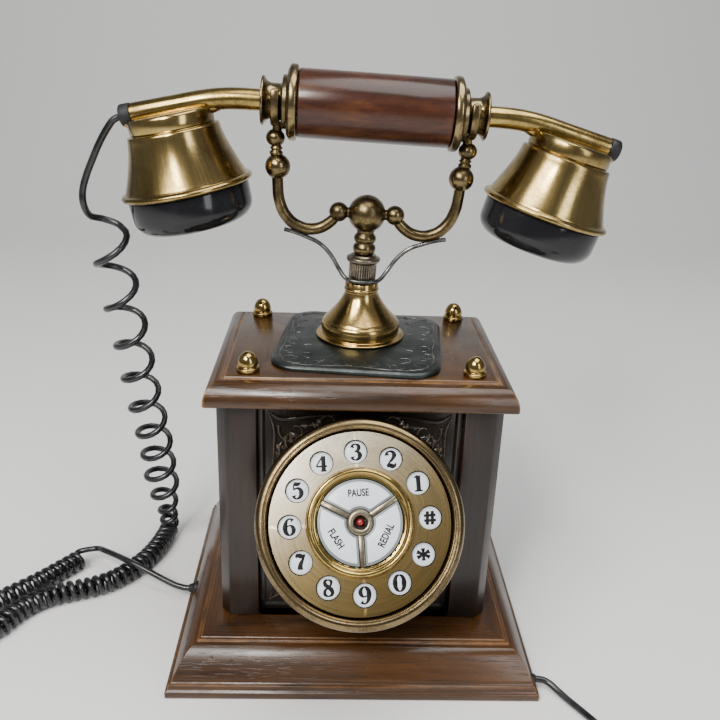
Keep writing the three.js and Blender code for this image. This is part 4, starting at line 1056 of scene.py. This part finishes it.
for i in range(1, 15):
    part = i / 14
    cup_rings.append((0.0242 + 0.0080 * part ** 1.4, -0.0121 - 0.0258 * part))
cup_rings += [(0.0325, -0.0385), (0.0325, -0.0388), (0.0336, -0.0390), (0.0345, -0.0395), (0.0350, -0.0404),
              (0.0349, -0.0413), (0.0343, -0.0419), (0.0334, -0.0421), (0.0331, -0.0424),
              (0.0326, -0.0424), (0.0314, -0.0420), (0.0290, -0.0340),
              (0.0222, -0.0140), (0.0002, -0.0130)]
cap_rings = [(0.0312, -0.0427), (0.0322, -0.0430), (0.0321, -0.0525)]
for i in range(1, 11):
    angle = i / 10 * math.radians(80)
    cap_rings.append((0.0226 + 0.0095 * math.cos(angle), -0.0525 - 0.0092 * math.sin(angle)))
cap_rings += [(0.0180, -0.0621), (0.0100, -0.0625), (0.0002, -0.0628), (0.0002, -0.0603), (0.0200, -0.0596),
              (0.0290, -0.0530), (0.0292, -0.0427)]


def drill(piece, centres, radius, low, high):
    """Cuts upright round holes through a piece with one Boolean."""
    drills = []
    for x, y in centres:
        bpy.ops.mesh.primitive_cylinder_add(vertices=40, radius=radius, depth=high - low,
                                            location=(x, y, (low + high) / 2))
        drills.append(begin("drill"))
        bpy.ops.object.transform_apply(location=True, rotation=True, scale=True)
    cutter = unite("drill", drills) if len(drills) > 1 else drills[0]
    take(piece)
    bore = piece.modifiers.new("bore", "BOOLEAN")
    bore.object = cutter
    bore.solver = "EXACT"
    bpy.ops.object.modifier_apply(modifier="bore")
    bpy.data.objects.remove(cutter)


def make_black_gloss(name, rough, tint=(0.006, 0.006, 0.007)):
    """Moulded black phenolic, rubbed to a soft gloss, with hazy hand marks."""
    material, tree, shader = new_material(name, Specular_IOR_Level=0.36)
    place = put(tree, "TexCoord").outputs["Object"]
    haze = noise(tree, place, 60, 7, 0.65)
    tree.links.new(ramp(tree, haze, (0.35, rough[0]), (0.7, rough[1])), shader.inputs["Roughness"])
    tree.links.new(ramp(tree, haze, (0.3, tint), (0.8, tuple(2.4 * c for c in tint))),
                   shader.inputs["Base Color"])
    grit = noise(tree, place, 800, 2)
    emboss(tree, shader, grit, 0.05, 0.0001)
    return material


def refinish(name, material):
    """Gives a piece that keeps its design shape a new material."""
    nodes[name].data.materials.clear()
    nodes[name].data.materials.append(material)


sound_circle, sound_hole = 0.0085, 0.0014
cap_black = make_black_gloss("cap_phenolic", (0.07, 0.20))
plug_black = make_black_gloss("plug_rubber", (0.40, 0.60), (0.005, 0.005, 0.006))
for side_name, half_turn, cap_name, capsule_name in (("left", math.pi, "receiver_cap", "receiver_capsule"),
                                                     ("right", 0, "transmitter_cap", "transmitter_capsule")):
    end_place = handset_place @ Matrix.Rotation(half_turn, 4, "Z")
    tail_place = end_place @ Matrix.Translation(bend_end) @ Matrix.Rotation(tube_bend, 4, "Y")
    cup_place = tail_place @ Matrix.Translation((0.015, 0, 0))

    spool_place = end_place @ Matrix.Translation((spool_start, 0, 0)) @ along_x
    spool = settle(soften(rise(f"{side_name}_spool", spool_rings, 96), 0.0001, 1, 45), spool_place)
    spool_brass = make_brass(f"{side_name}_spool_brass", (0.30, 0.225, 0.11), (0.10, 0.075, 0.04),
                             spool_place, rough=(0.17, 0.34), patches=90)
    finish_piece(spool, spool_brass, "handset", "dark_brass", f"{side_name}_ferrule")

    tube_points = [(spool_start + 0.0052, 0, 0, 1), (tube_straight - 0.008, 0, 0, 1)]
    for i in range(9):
        angle = tube_bend * i / 8
        tube_points.append((tube_straight + bend_radius * math.sin(angle), 0,
                            -bend_radius * (1 - math.cos(angle)), 1))
    tail = Vector((math.cos(tube_bend), 0, -math.sin(tube_bend)))
    for reach in (0.010, 0.022, tube_tail):
        tube_points.append((*(bend_end + tail * reach), 1))
    tube = settle(bar(f"{side_name}_bent_tube", tube_points, tube_radius, 12), end_place)
    tube_brass = make_brass(f"{side_name}_tube_brass", (0.46, 0.33, 0.11), (0.19, 0.13, 0.045), tail_place,
                            around=1.0, along=60.0, rough=(0.15, 0.30), patches=55, mark_depth=0.1)
    finish_piece(tube, tube_brass, "handset", "antique_brass", f"{side_name}_tube")

    plug_rings = [(0.0002, 0), (0.0056, 0), (0.0058, 0.0003), (0.0058, 0.0046), (0.0055, 0.0055),
                  (0.0048, 0.0060), (0.0020, 0.0060), (0.0018, 0.0054), (0.0002, 0.0054)]
    end_plug = rise(f"{side_name}_end_plug", plug_rings, 48)
    settle(soften(end_plug, 0.0002, 2), tail_place @ Matrix.Translation((tube_tail + 0.0003, 0, 0)) @ along_x)
    finish_piece(end_plug, plug_black, "handset", "black_plastic", f"{side_name}_tube_plug")

    shell = soften(rise("shell", cup_rings, 160), 0.0001, 1, 40)
    braze = orb(0.0040, (-0.0215, 0, -0.0040), (1.9, 1.0, 0.75))
    lip = orb(0.0040, (0.0205, 0, -0.0042), (1.1, 1.1, 0.7))
    cup = settle(unite(f"{side_name}_spun_cup", [shell, braze, lip]), cup_place)
    cup_brass = make_brass(f"{side_name}_cup_brass", (0.50, 0.36, 0.135), (0.20, 0.135, 0.050), cup_place,
                           around=70.0, along=9.0, rough=(0.14, 0.28), patches=30, mark_depth=0.3)
    finish_piece(cup, cup_brass, "handset", "antique_brass", f"{side_name}_cup")

    cap_shell = rise(f"{cap_name}_moulded", cap_rings, 128)
    ring_of_holes = [(sound_circle * math.cos(i * math.pi / 3), sound_circle * math.sin(i * math.pi / 3))
                     for i in range(6)]
    drill(cap_shell, [(0, 0.0001), *ring_of_holes], sound_hole, -0.0660, -0.0560)
    settle(soften(cap_shell, 0.0003, 2, 40), cup_place)
    finish_piece(cap_shell, cap_black, "handset", "black_plastic", cap_name)
    refinish(capsule_name, wire_steel)

# ------------------------------------------------------------ dial housing and bezel
# A black moulded pan on a neck stands on the front panel and leans back. The cast brass bezel that
# closes it has a broad rounded edge, a bright ridge and a groove round the face.
dial_tilt, dial_twist = math.radians(34), math.radians(4.6)
dial_y, dial_height = -0.09096, 0.11282
dial_place = Matrix.Translation((0, dial_y, dial_height)) @ Matrix.Rotation(math.pi / 2 - dial_tilt, 4, "X")
clock_place = dial_place @ Matrix.Rotation(dial_twist, 4, "Z")
bezel_rings = [(0.0522, -0.0060), (0.0522, -0.0018), (0.0520, -0.0006), (0.0514, 0.0006), (0.0504, 0.0015),
               (0.0492, 0.0020), (0.0481, 0.0021), (0.0478, 0.0018), (0.0475, 0.0018), (0.0472, 0.0023),
               (0.0467, 0.0023), (0.0464, 0.0019), (0.0461, 0.0006), (0.0458, -0.0008), (0.0454, -0.0012),
               (0.0453, -0.0060), (0.0522, -0.0060)]
bezel = settle(soften(rise("cast_bezel", bezel_rings, 192), 0.0001, 1, 45), dial_place)
bezel_brass = make_brass("bezel_brass", (0.26, 0.19, 0.095), (0.095, 0.066, 0.034), dial_place,
                         rough=(0.18, 0.36), patches=42)
finish_piece(bezel, bezel_brass, "cabinet_body", "antique_brass", "dial_bezel")

pan_rings = [(0.0002, -0.0200), (0.0390, -0.0200), (0.0402, -0.0196), (0.0412, -0.0188), (0.0498, -0.0092),
             (0.0502, -0.0080), (0.0502, -0.0063), (0.0477, -0.0063), (0.0477, -0.0085), (0.0385, -0.0180),
             (0.0002, -0.0180)]
pan = settle(soften(rise("pan", pan_rings, 128), 0.0002), dial_place)
neck_drop = 0.012
neck_place = (Matrix.Translation((0, panel_low.y - 0.0003, dial_height - neck_drop))
              @ Matrix.Rotation(math.pi / 2, 4, "X"))
neck_rings = [(0.0300, 0), (0.0300, 0.0016), (0.0286, 0.0022), (0.0280, 0.0030), (0.0280, 0.0500),
              (0.0250, 0.0500), (0.0250, 0), (0.0300, 0)]
neck = settle(soften(rise("neck", neck_rings, 96), 0.0002), neck_place)
bpy.ops.object.mode_set(mode="EDIT")
bpy.ops.mesh.select_all(action="SELECT")
bpy.ops.mesh.bisect(plane_co=dial_place @ Vector((0, 0, -0.0190)),
                    plane_no=dial_place.to_3x3() @ Vector((0, 0, 1)), clear_outer=True)
bpy.ops.object.mode_set(mode="OBJECT")
housing_black = make_black_gloss("housing_black", (0.25, 0.45), (0.012, 0.011, 0.011))
finish_piece(unite("moulded_housing", [pan, neck]), housing_black, "cabinet_body", "black_plastic",
             "dial_housing")

# ------------------------------------------------------------ dial face and inner ring
# A brushed brass disc pierced for twelve keys, with a polished gold ring round the function keys. Its colour
# holds a painted sheen: painted highlight towards the upper left, painted shade towards the lower right.
face_radius, ring_bore, key_circle, key_hole = 0.0450, 0.0224, 0.0349, 0.0061
key_angles = [math.pi / 2 - i * math.pi / 6 for i in range(12)]
face = rise("pierced_face", [(0.0002, -0.0020), (face_radius, -0.0020), (face_radius, 0), (0.0002, 0)], 192)
key_spots = [(key_circle * math.cos(a), key_circle * math.sin(a)) for a in key_angles]
drill(face, key_spots, key_hole, -0.005, 0.005)
drill(face, [(0, 0.00001)], ring_bore, -0.005, 0.005)
settle(soften(face, 0.00025, 2, 40), clock_place)
face_brass = make_brass("face_brass", (0.66, 0.50, 0.235), (0.38, 0.27, 0.105), dial_place,
                        rough=(0.24, 0.34), patches=24)
face_tree = face_brass.node_tree
face_shader = face_tree.nodes["Principled BSDF"]
face_colour = face_shader.inputs["Base Color"].links[0].from_socket
# Painted light: the face's brass colour is paled towards the upper left as a painted highlight and darkened
# towards the lower right as painted shade.
painted_light_place = put(face_tree, "Mapping", {"Vector": put(face_tree, "TexCoord").outputs["Object"],
                                       "Location": tuple(dial_place.translation),
                                       "Rotation": (math.pi / 2 - dial_tilt, 0, 0)}, vector_type="TEXTURE")
split = put(face_tree, "SeparateXYZ", {"Vector": painted_light_place.outputs[0]})
painted_light_slope = sums(face_tree, "ADD", sums(face_tree, "SUBTRACT", sums(face_tree, "MULTIPLY", split.outputs[1], 8.5),
                                   sums(face_tree, "MULTIPLY", split.outputs[0], 6.0)), 0.5)
# The painted sheen is a tint from grey-olive to white that follows place on the face, with a pale colour
# mixed in towards the upper left.
painted_sheen_tint = ramp(face_tree, painted_light_slope, (0.02, (0.42, 0.37, 0.28)), (0.50, (0.78, 0.76, 0.74)), (0.92, (1.0, 1.0, 1.0)))
painted_highlight_colour = mix(face_tree, ramp(face_tree, painted_light_slope, (0.45, 0.0), (1.0, 0.7)), face_colour, (0.90, 0.86, 0.74))
face_tree.links.new(mix(face_tree, 1.0, painted_highlight_colour, painted_sheen_tint, "MULTIPLY"), face_shader.inputs["Base Color"])
finish_piece(face, face_brass, "cabinet_body", "pale_brass", "dial_face")
ring_rings = [(0.0218, 0.0003), (0.0270, 0.0003), (0.0270, 0.0006), (0.0266, 0.0008), (0.0266, 0.0015),
              (0.0263, 0.0024), (0.0257, 0.0030), (0.0250, 0.0032), (0.0243, 0.0030), (0.0237, 0.0024),
              (0.0232, 0.0014), (0.0229, 0.0007), (0.0222, 0.0006), (0.0218, 0.0006), (0.0218, 0.0003)]
inner_ring = settle(soften(rise("polished_ring", ring_rings, 144), 0.00006, 1, 45), dial_place)
ring_gold = make_brass("ring_gold", (0.60, 0.43, 0.14), (0.30, 0.20, 0.065), dial_place, rough=(0.10, 0.24),
                       patches=70)
finish_piece(inner_ring, ring_gold, "cabinet_body", "antique_brass", "dial_ring")

# ------------------------------------------------------------ digit keys
# Twelve white round keys, each printed in black with an upright fat-face figure. They sit a little
# below the face and press straight in.


def make_white_plastic(name, tone):
    material, tree, shader = new_material(name, Specular_IOR_Level=0.5, Subsurface_Weight=0.08)
    shader.inputs["Subsurface Radius"].default_value = (0.0012, 0.0010, 0.0008)
    place = put(tree, "TexCoord").outputs["Object"]
    dust = noise(tree, place, 240, 6, 0.7)
    tree.links.new(ramp(tree, dust, (0.30, tuple(0.90 * c for c in tone)), (0.62, tone)),
                   shader.inputs["Base Color"])
    tree.links.new(ramp(tree, dust, (0.3, 0.42), (0.7, 0.26)), shader.inputs["Roughness"])
    emboss(tree, shader, dust, 0.06, 0.0001)
    return material


key_white = make_white_plastic("key_white", (0.70, 0.74, 0.79))
# Dark grey for the function keys' borders: painted shade round the white keys' edges.
key_edge_shade_grey = make_white_plastic("key_border_painted_shade", (0.20, 0.215, 0.22))
ink = make_mottled("printed_ink", 500, 3, ((0.3, (0.004, 0.004, 0.005)), (0.7, (0.014, 0.014, 0.016))),
                   ((0.3, 0.30), (0.7, 0.48)), Specular_IOR_Level=0.12)

# Strokes of (x, y, width share) in a box one figure high, centred on the key.
six = [(0.17, 0.35, 1.2), (0.09, 0.46, 0.5), (-0.05, 0.45, 0.5), (-0.18, 0.22, 1.1), (-0.22, -0.10, 1.35),
       (-0.15, -0.36, 1.1), (0, -0.47, 0.4), (0.14, -0.37, 0.9), (0.20, -0.18, 1.25), (0.13, 0.02, 0.9),
       (0.01, 0.08, 0.4), (-0.12, 0.02, 0.4), (-0.20, -0.10, 0.4)]
figures = {
    "1": [[(0.03, 0.46, 1.25), (0.03, -0.44, 1.25)], [(-0.17, 0.33, 0.4), (0, 0.45, 0.6)],
          [(-0.17, -0.46, 0.45), (0.23, -0.46, 0.45)]],
    "2": [[(-0.17, 0.23, 1.35), (-0.18, 0.36, 0.8), (-0.05, 0.47, 0.45), (0.12, 0.43, 0.9), (0.19, 0.25, 1.3),
           (0.10, 0.03, 0.9), (-0.09, -0.22, 0.45), (-0.21, -0.42, 0.4)],
          [(-0.20, -0.40, 0.9), (-0.06, -0.37, 1.2), (0.08, -0.42, 1.35), (0.20, -0.38, 0.8),
           (0.24, -0.24, 0.3)]],
    "3": [[(-0.16, 0.27, 1.3), (-0.13, 0.42, 0.6), (0.02, 0.47, 0.4), (0.16, 0.36, 1.1), (0.16, 0.18, 1.05),
           (0.01, 0.05, 0.35)],
          [(-0.05, 0.05, 0.35), (0.12, 0, 0.8), (0.21, -0.20, 1.35), (0.13, -0.41, 0.9), (-0.03, -0.47, 0.4),
           (-0.15, -0.41, 0.6), (-0.18, -0.27, 1.3)]],
    "4": [[(0.07, 0.45, 0.4), (-0.27, -0.17, 0.4)], [(-0.27, -0.18, 0.5), (0.28, -0.18, 0.5)],
          [(0.10, 0.44, 1.2), (0.10, -0.44, 1.2)], [(-0.05, -0.46, 0.4), (0.25, -0.46, 0.4)]],
    "5": [[(-0.15, 0.42, 1.0), (0.02, 0.39, 1.15), (0.19, 0.46, 0.4)],
          [(-0.16, 0.44, 0.4), (-0.18, 0.06, 0.4)],
          [(-0.18, 0.06, 0.4), (-0.05, 0.15, 0.5), (0.12, 0.10, 0.9), (0.20, -0.14, 1.35), (0.11, -0.39, 0.9),
           (-0.04, -0.47, 0.4), (-0.15, -0.41, 0.6), (-0.18, -0.27, 1.3)]],
    "6": [six],
    "7": [[(-0.22, 0.28, 0.35), (-0.17, 0.41, 1.0), (-0.04, 0.40, 1.3), (0.09, 0.37, 1.1), (0.22, 0.46, 0.4)],
          [(0.22, 0.45, 0.4), (0.09, 0.14, 0.8), (-0.02, -0.14, 1.25), (-0.04, -0.40, 1.5)]],
    "8": [[(0, 0.47, 0.4), (-0.15, 0.38, 0.9), (-0.14, 0.20, 1.1), (0.02, 0.03, 1.15), (0.16, -0.14, 1.15),
           (0.18, -0.35, 0.9), (0, -0.47, 0.4), (-0.18, -0.35, 0.9), (-0.16, -0.14, 0.8), (0, 0.01, 0.45),
           (0.13, 0.18, 0.6), (0.14, 0.37, 0.8), (0, 0.47, 0.4)]],
    "9": [[(-x, -y, width) for x, y, width in six]],
    "0": [[(0, 0.47, 0.4), (-0.15, 0.36, 0.9), (-0.22, 0, 1.4), (-0.15, -0.36, 0.9), (0, -0.47, 0.4),
           (0.15, -0.36, 0.9), (0.22, 0, 1.4), (0.15, 0.36, 0.9), (0, 0.47, 0.4)]],
    "hash": [[(-0.10, 0.40, 0.9), (-0.15, -0.40, 0.9)], [(0.15, 0.40, 0.9), (0.10, -0.40, 0.9)],
             [(-0.30, 0.15, 0.75), (0.30, 0.15, 0.75)], [(-0.30, -0.15, 0.75), (0.30, -0.15, 0.75)]],
    "star": [[(reach * math.cos(a), reach * math.sin(a), width)
              for reach, width in ((0, 0.5), (0.18, 0.8), (0.36, 1.2))]
             for a in (math.pi / 6 + i * math.pi / 3 for i in range(6))],
}
figure_height, figure_stroke, key_recess = 0.0083, 0.00092, 0.0024
key_rings = [(0.0002, -0.0072), (0.0058, -0.0072), (0.0058, -0.0030), (0.0057, -0.0027), (0.0054, -0.0025),
             (0.0050, -key_recess), (0.0002, -key_recess)]
for label, (x, y) in zip(("3", "2", "1", "hash", "star", "0", "9", "8", "7", "6", "5", "4"), key_spots):
    button = soften(rise("button", key_rings, 64), 0, smooth=40)
    button.data.materials.append(key_white)
    strokes = [[(1.2 * right * figure_height, up * figure_height, width) for right, up, width in stroke]
               for stroke in figures[label]]
    print_mark = relief("print", strokes, figure_stroke, 0.08)
    print_mark.data.materials.append(ink)
    settle(print_mark, Matrix.Translation((0, 0, -key_recess)))
    key = settle(unite(f"printed_key_{label}", [button, print_mark]),
                 clock_place @ Matrix.Translation((x, y, 0)))
    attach(key, f"button_{label}")
    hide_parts(f"key_{label}")

# ------------------------------------------------------------ function keys, divider and lamp
# Three white keys fill the ring, each on a stepped border coloured dark grey as painted shade round its
# edges, and each with one plain word. A grey boss with three spokes parts them, and a red lamp shines in the
# boss's hole.
boss_radius, spoke_width, function_radius = 0.00645, 0.0026, 0.0212


def make_sector(middle, inner, outer, half_gap, low, high):
    """One third of a flat ring, cut back by half a gap from both spokes, with broken edges."""
    sector = rise("sector", [(inner, low), (outer, low), (outer, high), (inner, high), (inner, low)], 144)
    for turn in (-60, 60):
        across = math.radians(middle + turn + (90 if turn > 0 else -90))
        outwards = Vector((math.cos(across), math.sin(across), 0))
        take(sector)
        bpy.ops.object.mode_set(mode="EDIT")
        bpy.ops.mesh.select_all(action="SELECT")
        bpy.ops.mesh.bisect(plane_co=outwards * -half_gap, plane_no=outwards, use_fill=True, clear_outer=True)
        bpy.ops.object.mode_set(mode="OBJECT")
    return soften(sector, 0.00025, 2, 30)


for label, middle, word_turn in (("pause", 90, 0), ("flash", 210, -60), ("redial", -30, 60)):
    # The border step is coloured dark grey, painted shade round the white key.
    border = make_sector(middle, boss_radius + 0.0003, function_radius, spoke_width / 2 + 0.0003, -0.006, 0)
    border.data.materials.append(key_edge_shade_grey)
    area = make_sector(middle, boss_radius + 0.0014, function_radius - 0.0013, spoke_width / 2 + 0.0013,
                       -0.0002, 0.0006)
    area.data.materials.append(key_white)
    bpy.ops.object.text_add()
    word = bpy.context.object
    word.data.body = label.upper()
    word.data.align_x = word.data.align_y = "CENTER"
    word.data.size = 0.0050
    word.data.offset = 0.00016
    word.data.extrude = 0.00002
    bpy.ops.object.convert(target="MESH")
    word = begin("word")
    word.data.materials.append(ink)
    where = math.radians(middle)
    word_radius = 0.0143
    settle(word, Matrix.Translation((word_radius * math.cos(where), word_radius * math.sin(where), 0.00062))
           @ Matrix.Rotation(math.radians(word_turn), 4, "Z") @ Matrix.Diagonal((0.74, 1, 1, 1)))
    key = settle(unite(f"function_key_{label}", [border, area, word]), clock_place)
    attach(key, f"button_{label}")
    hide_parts(f"key_{label}")

boss = soften(rise("boss", [(0.0002, -0.0060), (boss_radius, -0.0060), (boss_radius, 0.0012),
                            (0.0062, 0.0018), (0.0055, 0.0022), (0.0042, 0.0023), (0.0036, 0.0020),
                            (0.0032, 0.0012), (0.0032, -0.0030), (0.0002, -0.0030)], 72), 0.00008, 1, 45)
spokes = [boss]
for degrees in (30, 150, 270):
    spoke = block("spoke", (0.0131, 0, -0.0017), (0.0168, spoke_width, 0.0046))
    soften(spoke, 0.0004, 2)
    spokes.append(settle(spoke, Matrix.Rotation(math.radians(degrees), 4, "Z")))
divider = settle(unite("spoked_divider", spokes), clock_place)
divider_brass = make_brass("divider_brass", (0.34, 0.29, 0.20), (0.15, 0.13, 0.10), clock_place,
                           rough=(0.26, 0.42), patches=150)
finish_piece(divider, divider_brass, "cabinet_body", "dark_brass", "key_divider")
divider.data.materials.append(housing_black)
in_hole = clock_place.inverted()
for side in divider.data.polygons:
    middle = in_hole @ side.center
    if math.hypot(middle.x, middle.y) < 0.0034 and middle.z < 0.0012:
        side.material_index = 1
lamp_radius, lamp_dome, dome_angle = 0.0018, 0.0014, 1.5
lamp_rings = [(lamp_radius, -0.0030), (lamp_radius, -0.0004)]
for i in range(1, 9):
    angle = i / 8 * dome_angle
    lamp_rings.append((lamp_radius * math.cos(angle), -0.0004 + lamp_dome * math.sin(angle)))
lamp_lens = settle(soften(rise("red_lamp", lamp_rings, 32), 0, smooth=60), clock_place)
lamp_red = make_mottled("lamp_red", 600, 3, ((0.3, (0.16, 0.006, 0.005)), (0.7, (0.36, 0.016, 0.012))),
                        Roughness=0.12, Coat_Weight=0.6)
finish_piece(lamp_lens, lamp_red, "cabinet_body", "dark_brass")

# ------------------------------------------------------------ inside pieces
# What the box, the pan and the cups hold: boards, switch, spring. They keep their design shapes.
board_green = make_mottled("board_green", 220, 4,
                           ((0.42, (0.010, 0.085, 0.030)), (0.56, (0.025, 0.16, 0.060))), Roughness=0.45)
for name, material in (("key_board", board_green), ("main_board", board_green),
                       ("hook_switch", housing_black), ("return_spring", wire_steel)):
    refinish(name, material)

# ------------------------------------------------------------ grommets and modular plug
# Short black rubber grommets, pushed into the plinth's counterbored holes, taper onto the cords.
for name, half_turn, cord_radius in (("handset_cord_grommet", math.pi, handset_wire / 2),
                                     ("line_cord_grommet", 0, line_wire / 2)):
    low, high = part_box(name)
    middle = (low + high) / 2
    outer = low.x if half_turn else high.x
    rubber_rings = [(0.0034, -0.0114), (0.0034, -0.0058), (0.0046, -0.0058), (0.0046, -0.0036),
                    (0.0043, -0.0034), (0.0036, -0.0032), (0.0031, -0.0022), (0.0027, -0.0006),
                    (0.0026, 0), (cord_radius, 0), (cord_radius, -0.0114), (0.0034, -0.0114)]
    rubber = soften(rise(f"{name}_rubber", rubber_rings, 40), 0.0002, 2)
    settle(rubber, Matrix.Translation((outer, middle.y, middle.z)) @ Matrix.Rotation(half_turn, 4, "Z")
           @ along_x)
    finish_piece(rubber, plug_black, "cabinet_body", "black_plastic", name)

# The clear plug is a moulded block with a springy latch, and six gilt contacts shine through it.
plug_middle = (plug_low + plug_high) / 2
shell = block("shell", (plug_middle.x, plug_middle.y, plug_low.z + 0.00325), (0.0096, 0.0210, 0.0065))
pick(shell, "FACE", lambda middle, facing: facing.y < -0.9)
bpy.ops.mesh.inset(thickness=0.0010, depth=-0.0015)
bpy.ops.object.mode_set(mode="OBJECT")
soften(shell, 0.0004, 2)
latch = block("latch", (plug_middle.x, plug_middle.y + 0.0015, plug_low.z + 0.0073),
              (0.0032, 0.0130, 0.0008))
pick(latch, "FACE", lambda middle, facing: facing.y > 0.9)
bpy.ops.transform.translate(value=(0, 0, -0.0008))
bpy.ops.object.mode_set(mode="OBJECT")
soften(latch, 0.0002)
plug_clear = make_mottled("clear_plug", 300, 4, ((0.3, (0.55, 0.57, 0.58)), (0.7, (0.80, 0.82, 0.83))),
                          ((0.3, 0.10), (0.7, 0.24)), IOR=1.49, Transmission_Weight=0.55)
modular_plug = finish_piece(unite("modular_plug", [shell, latch]), plug_clear, "cabinet_body",
                            "clear_plastic", "line_cord_plug")
contacts = []
contact_gap = 0.0011
for i in range(6):
    contact = block("contact", (plug_middle.x + (i - 2.5) * contact_gap, plug_middle.y + 0.0072,
                                plug_low.z + 0.0003), (0.0004, 0.0060, 0.0007))
    contacts.append(soften(contact, 0.0001))
gilt = unite("plug_contacts", contacts)
finish_piece(gilt, ring_gold, "cabinet_body", "antique_brass")
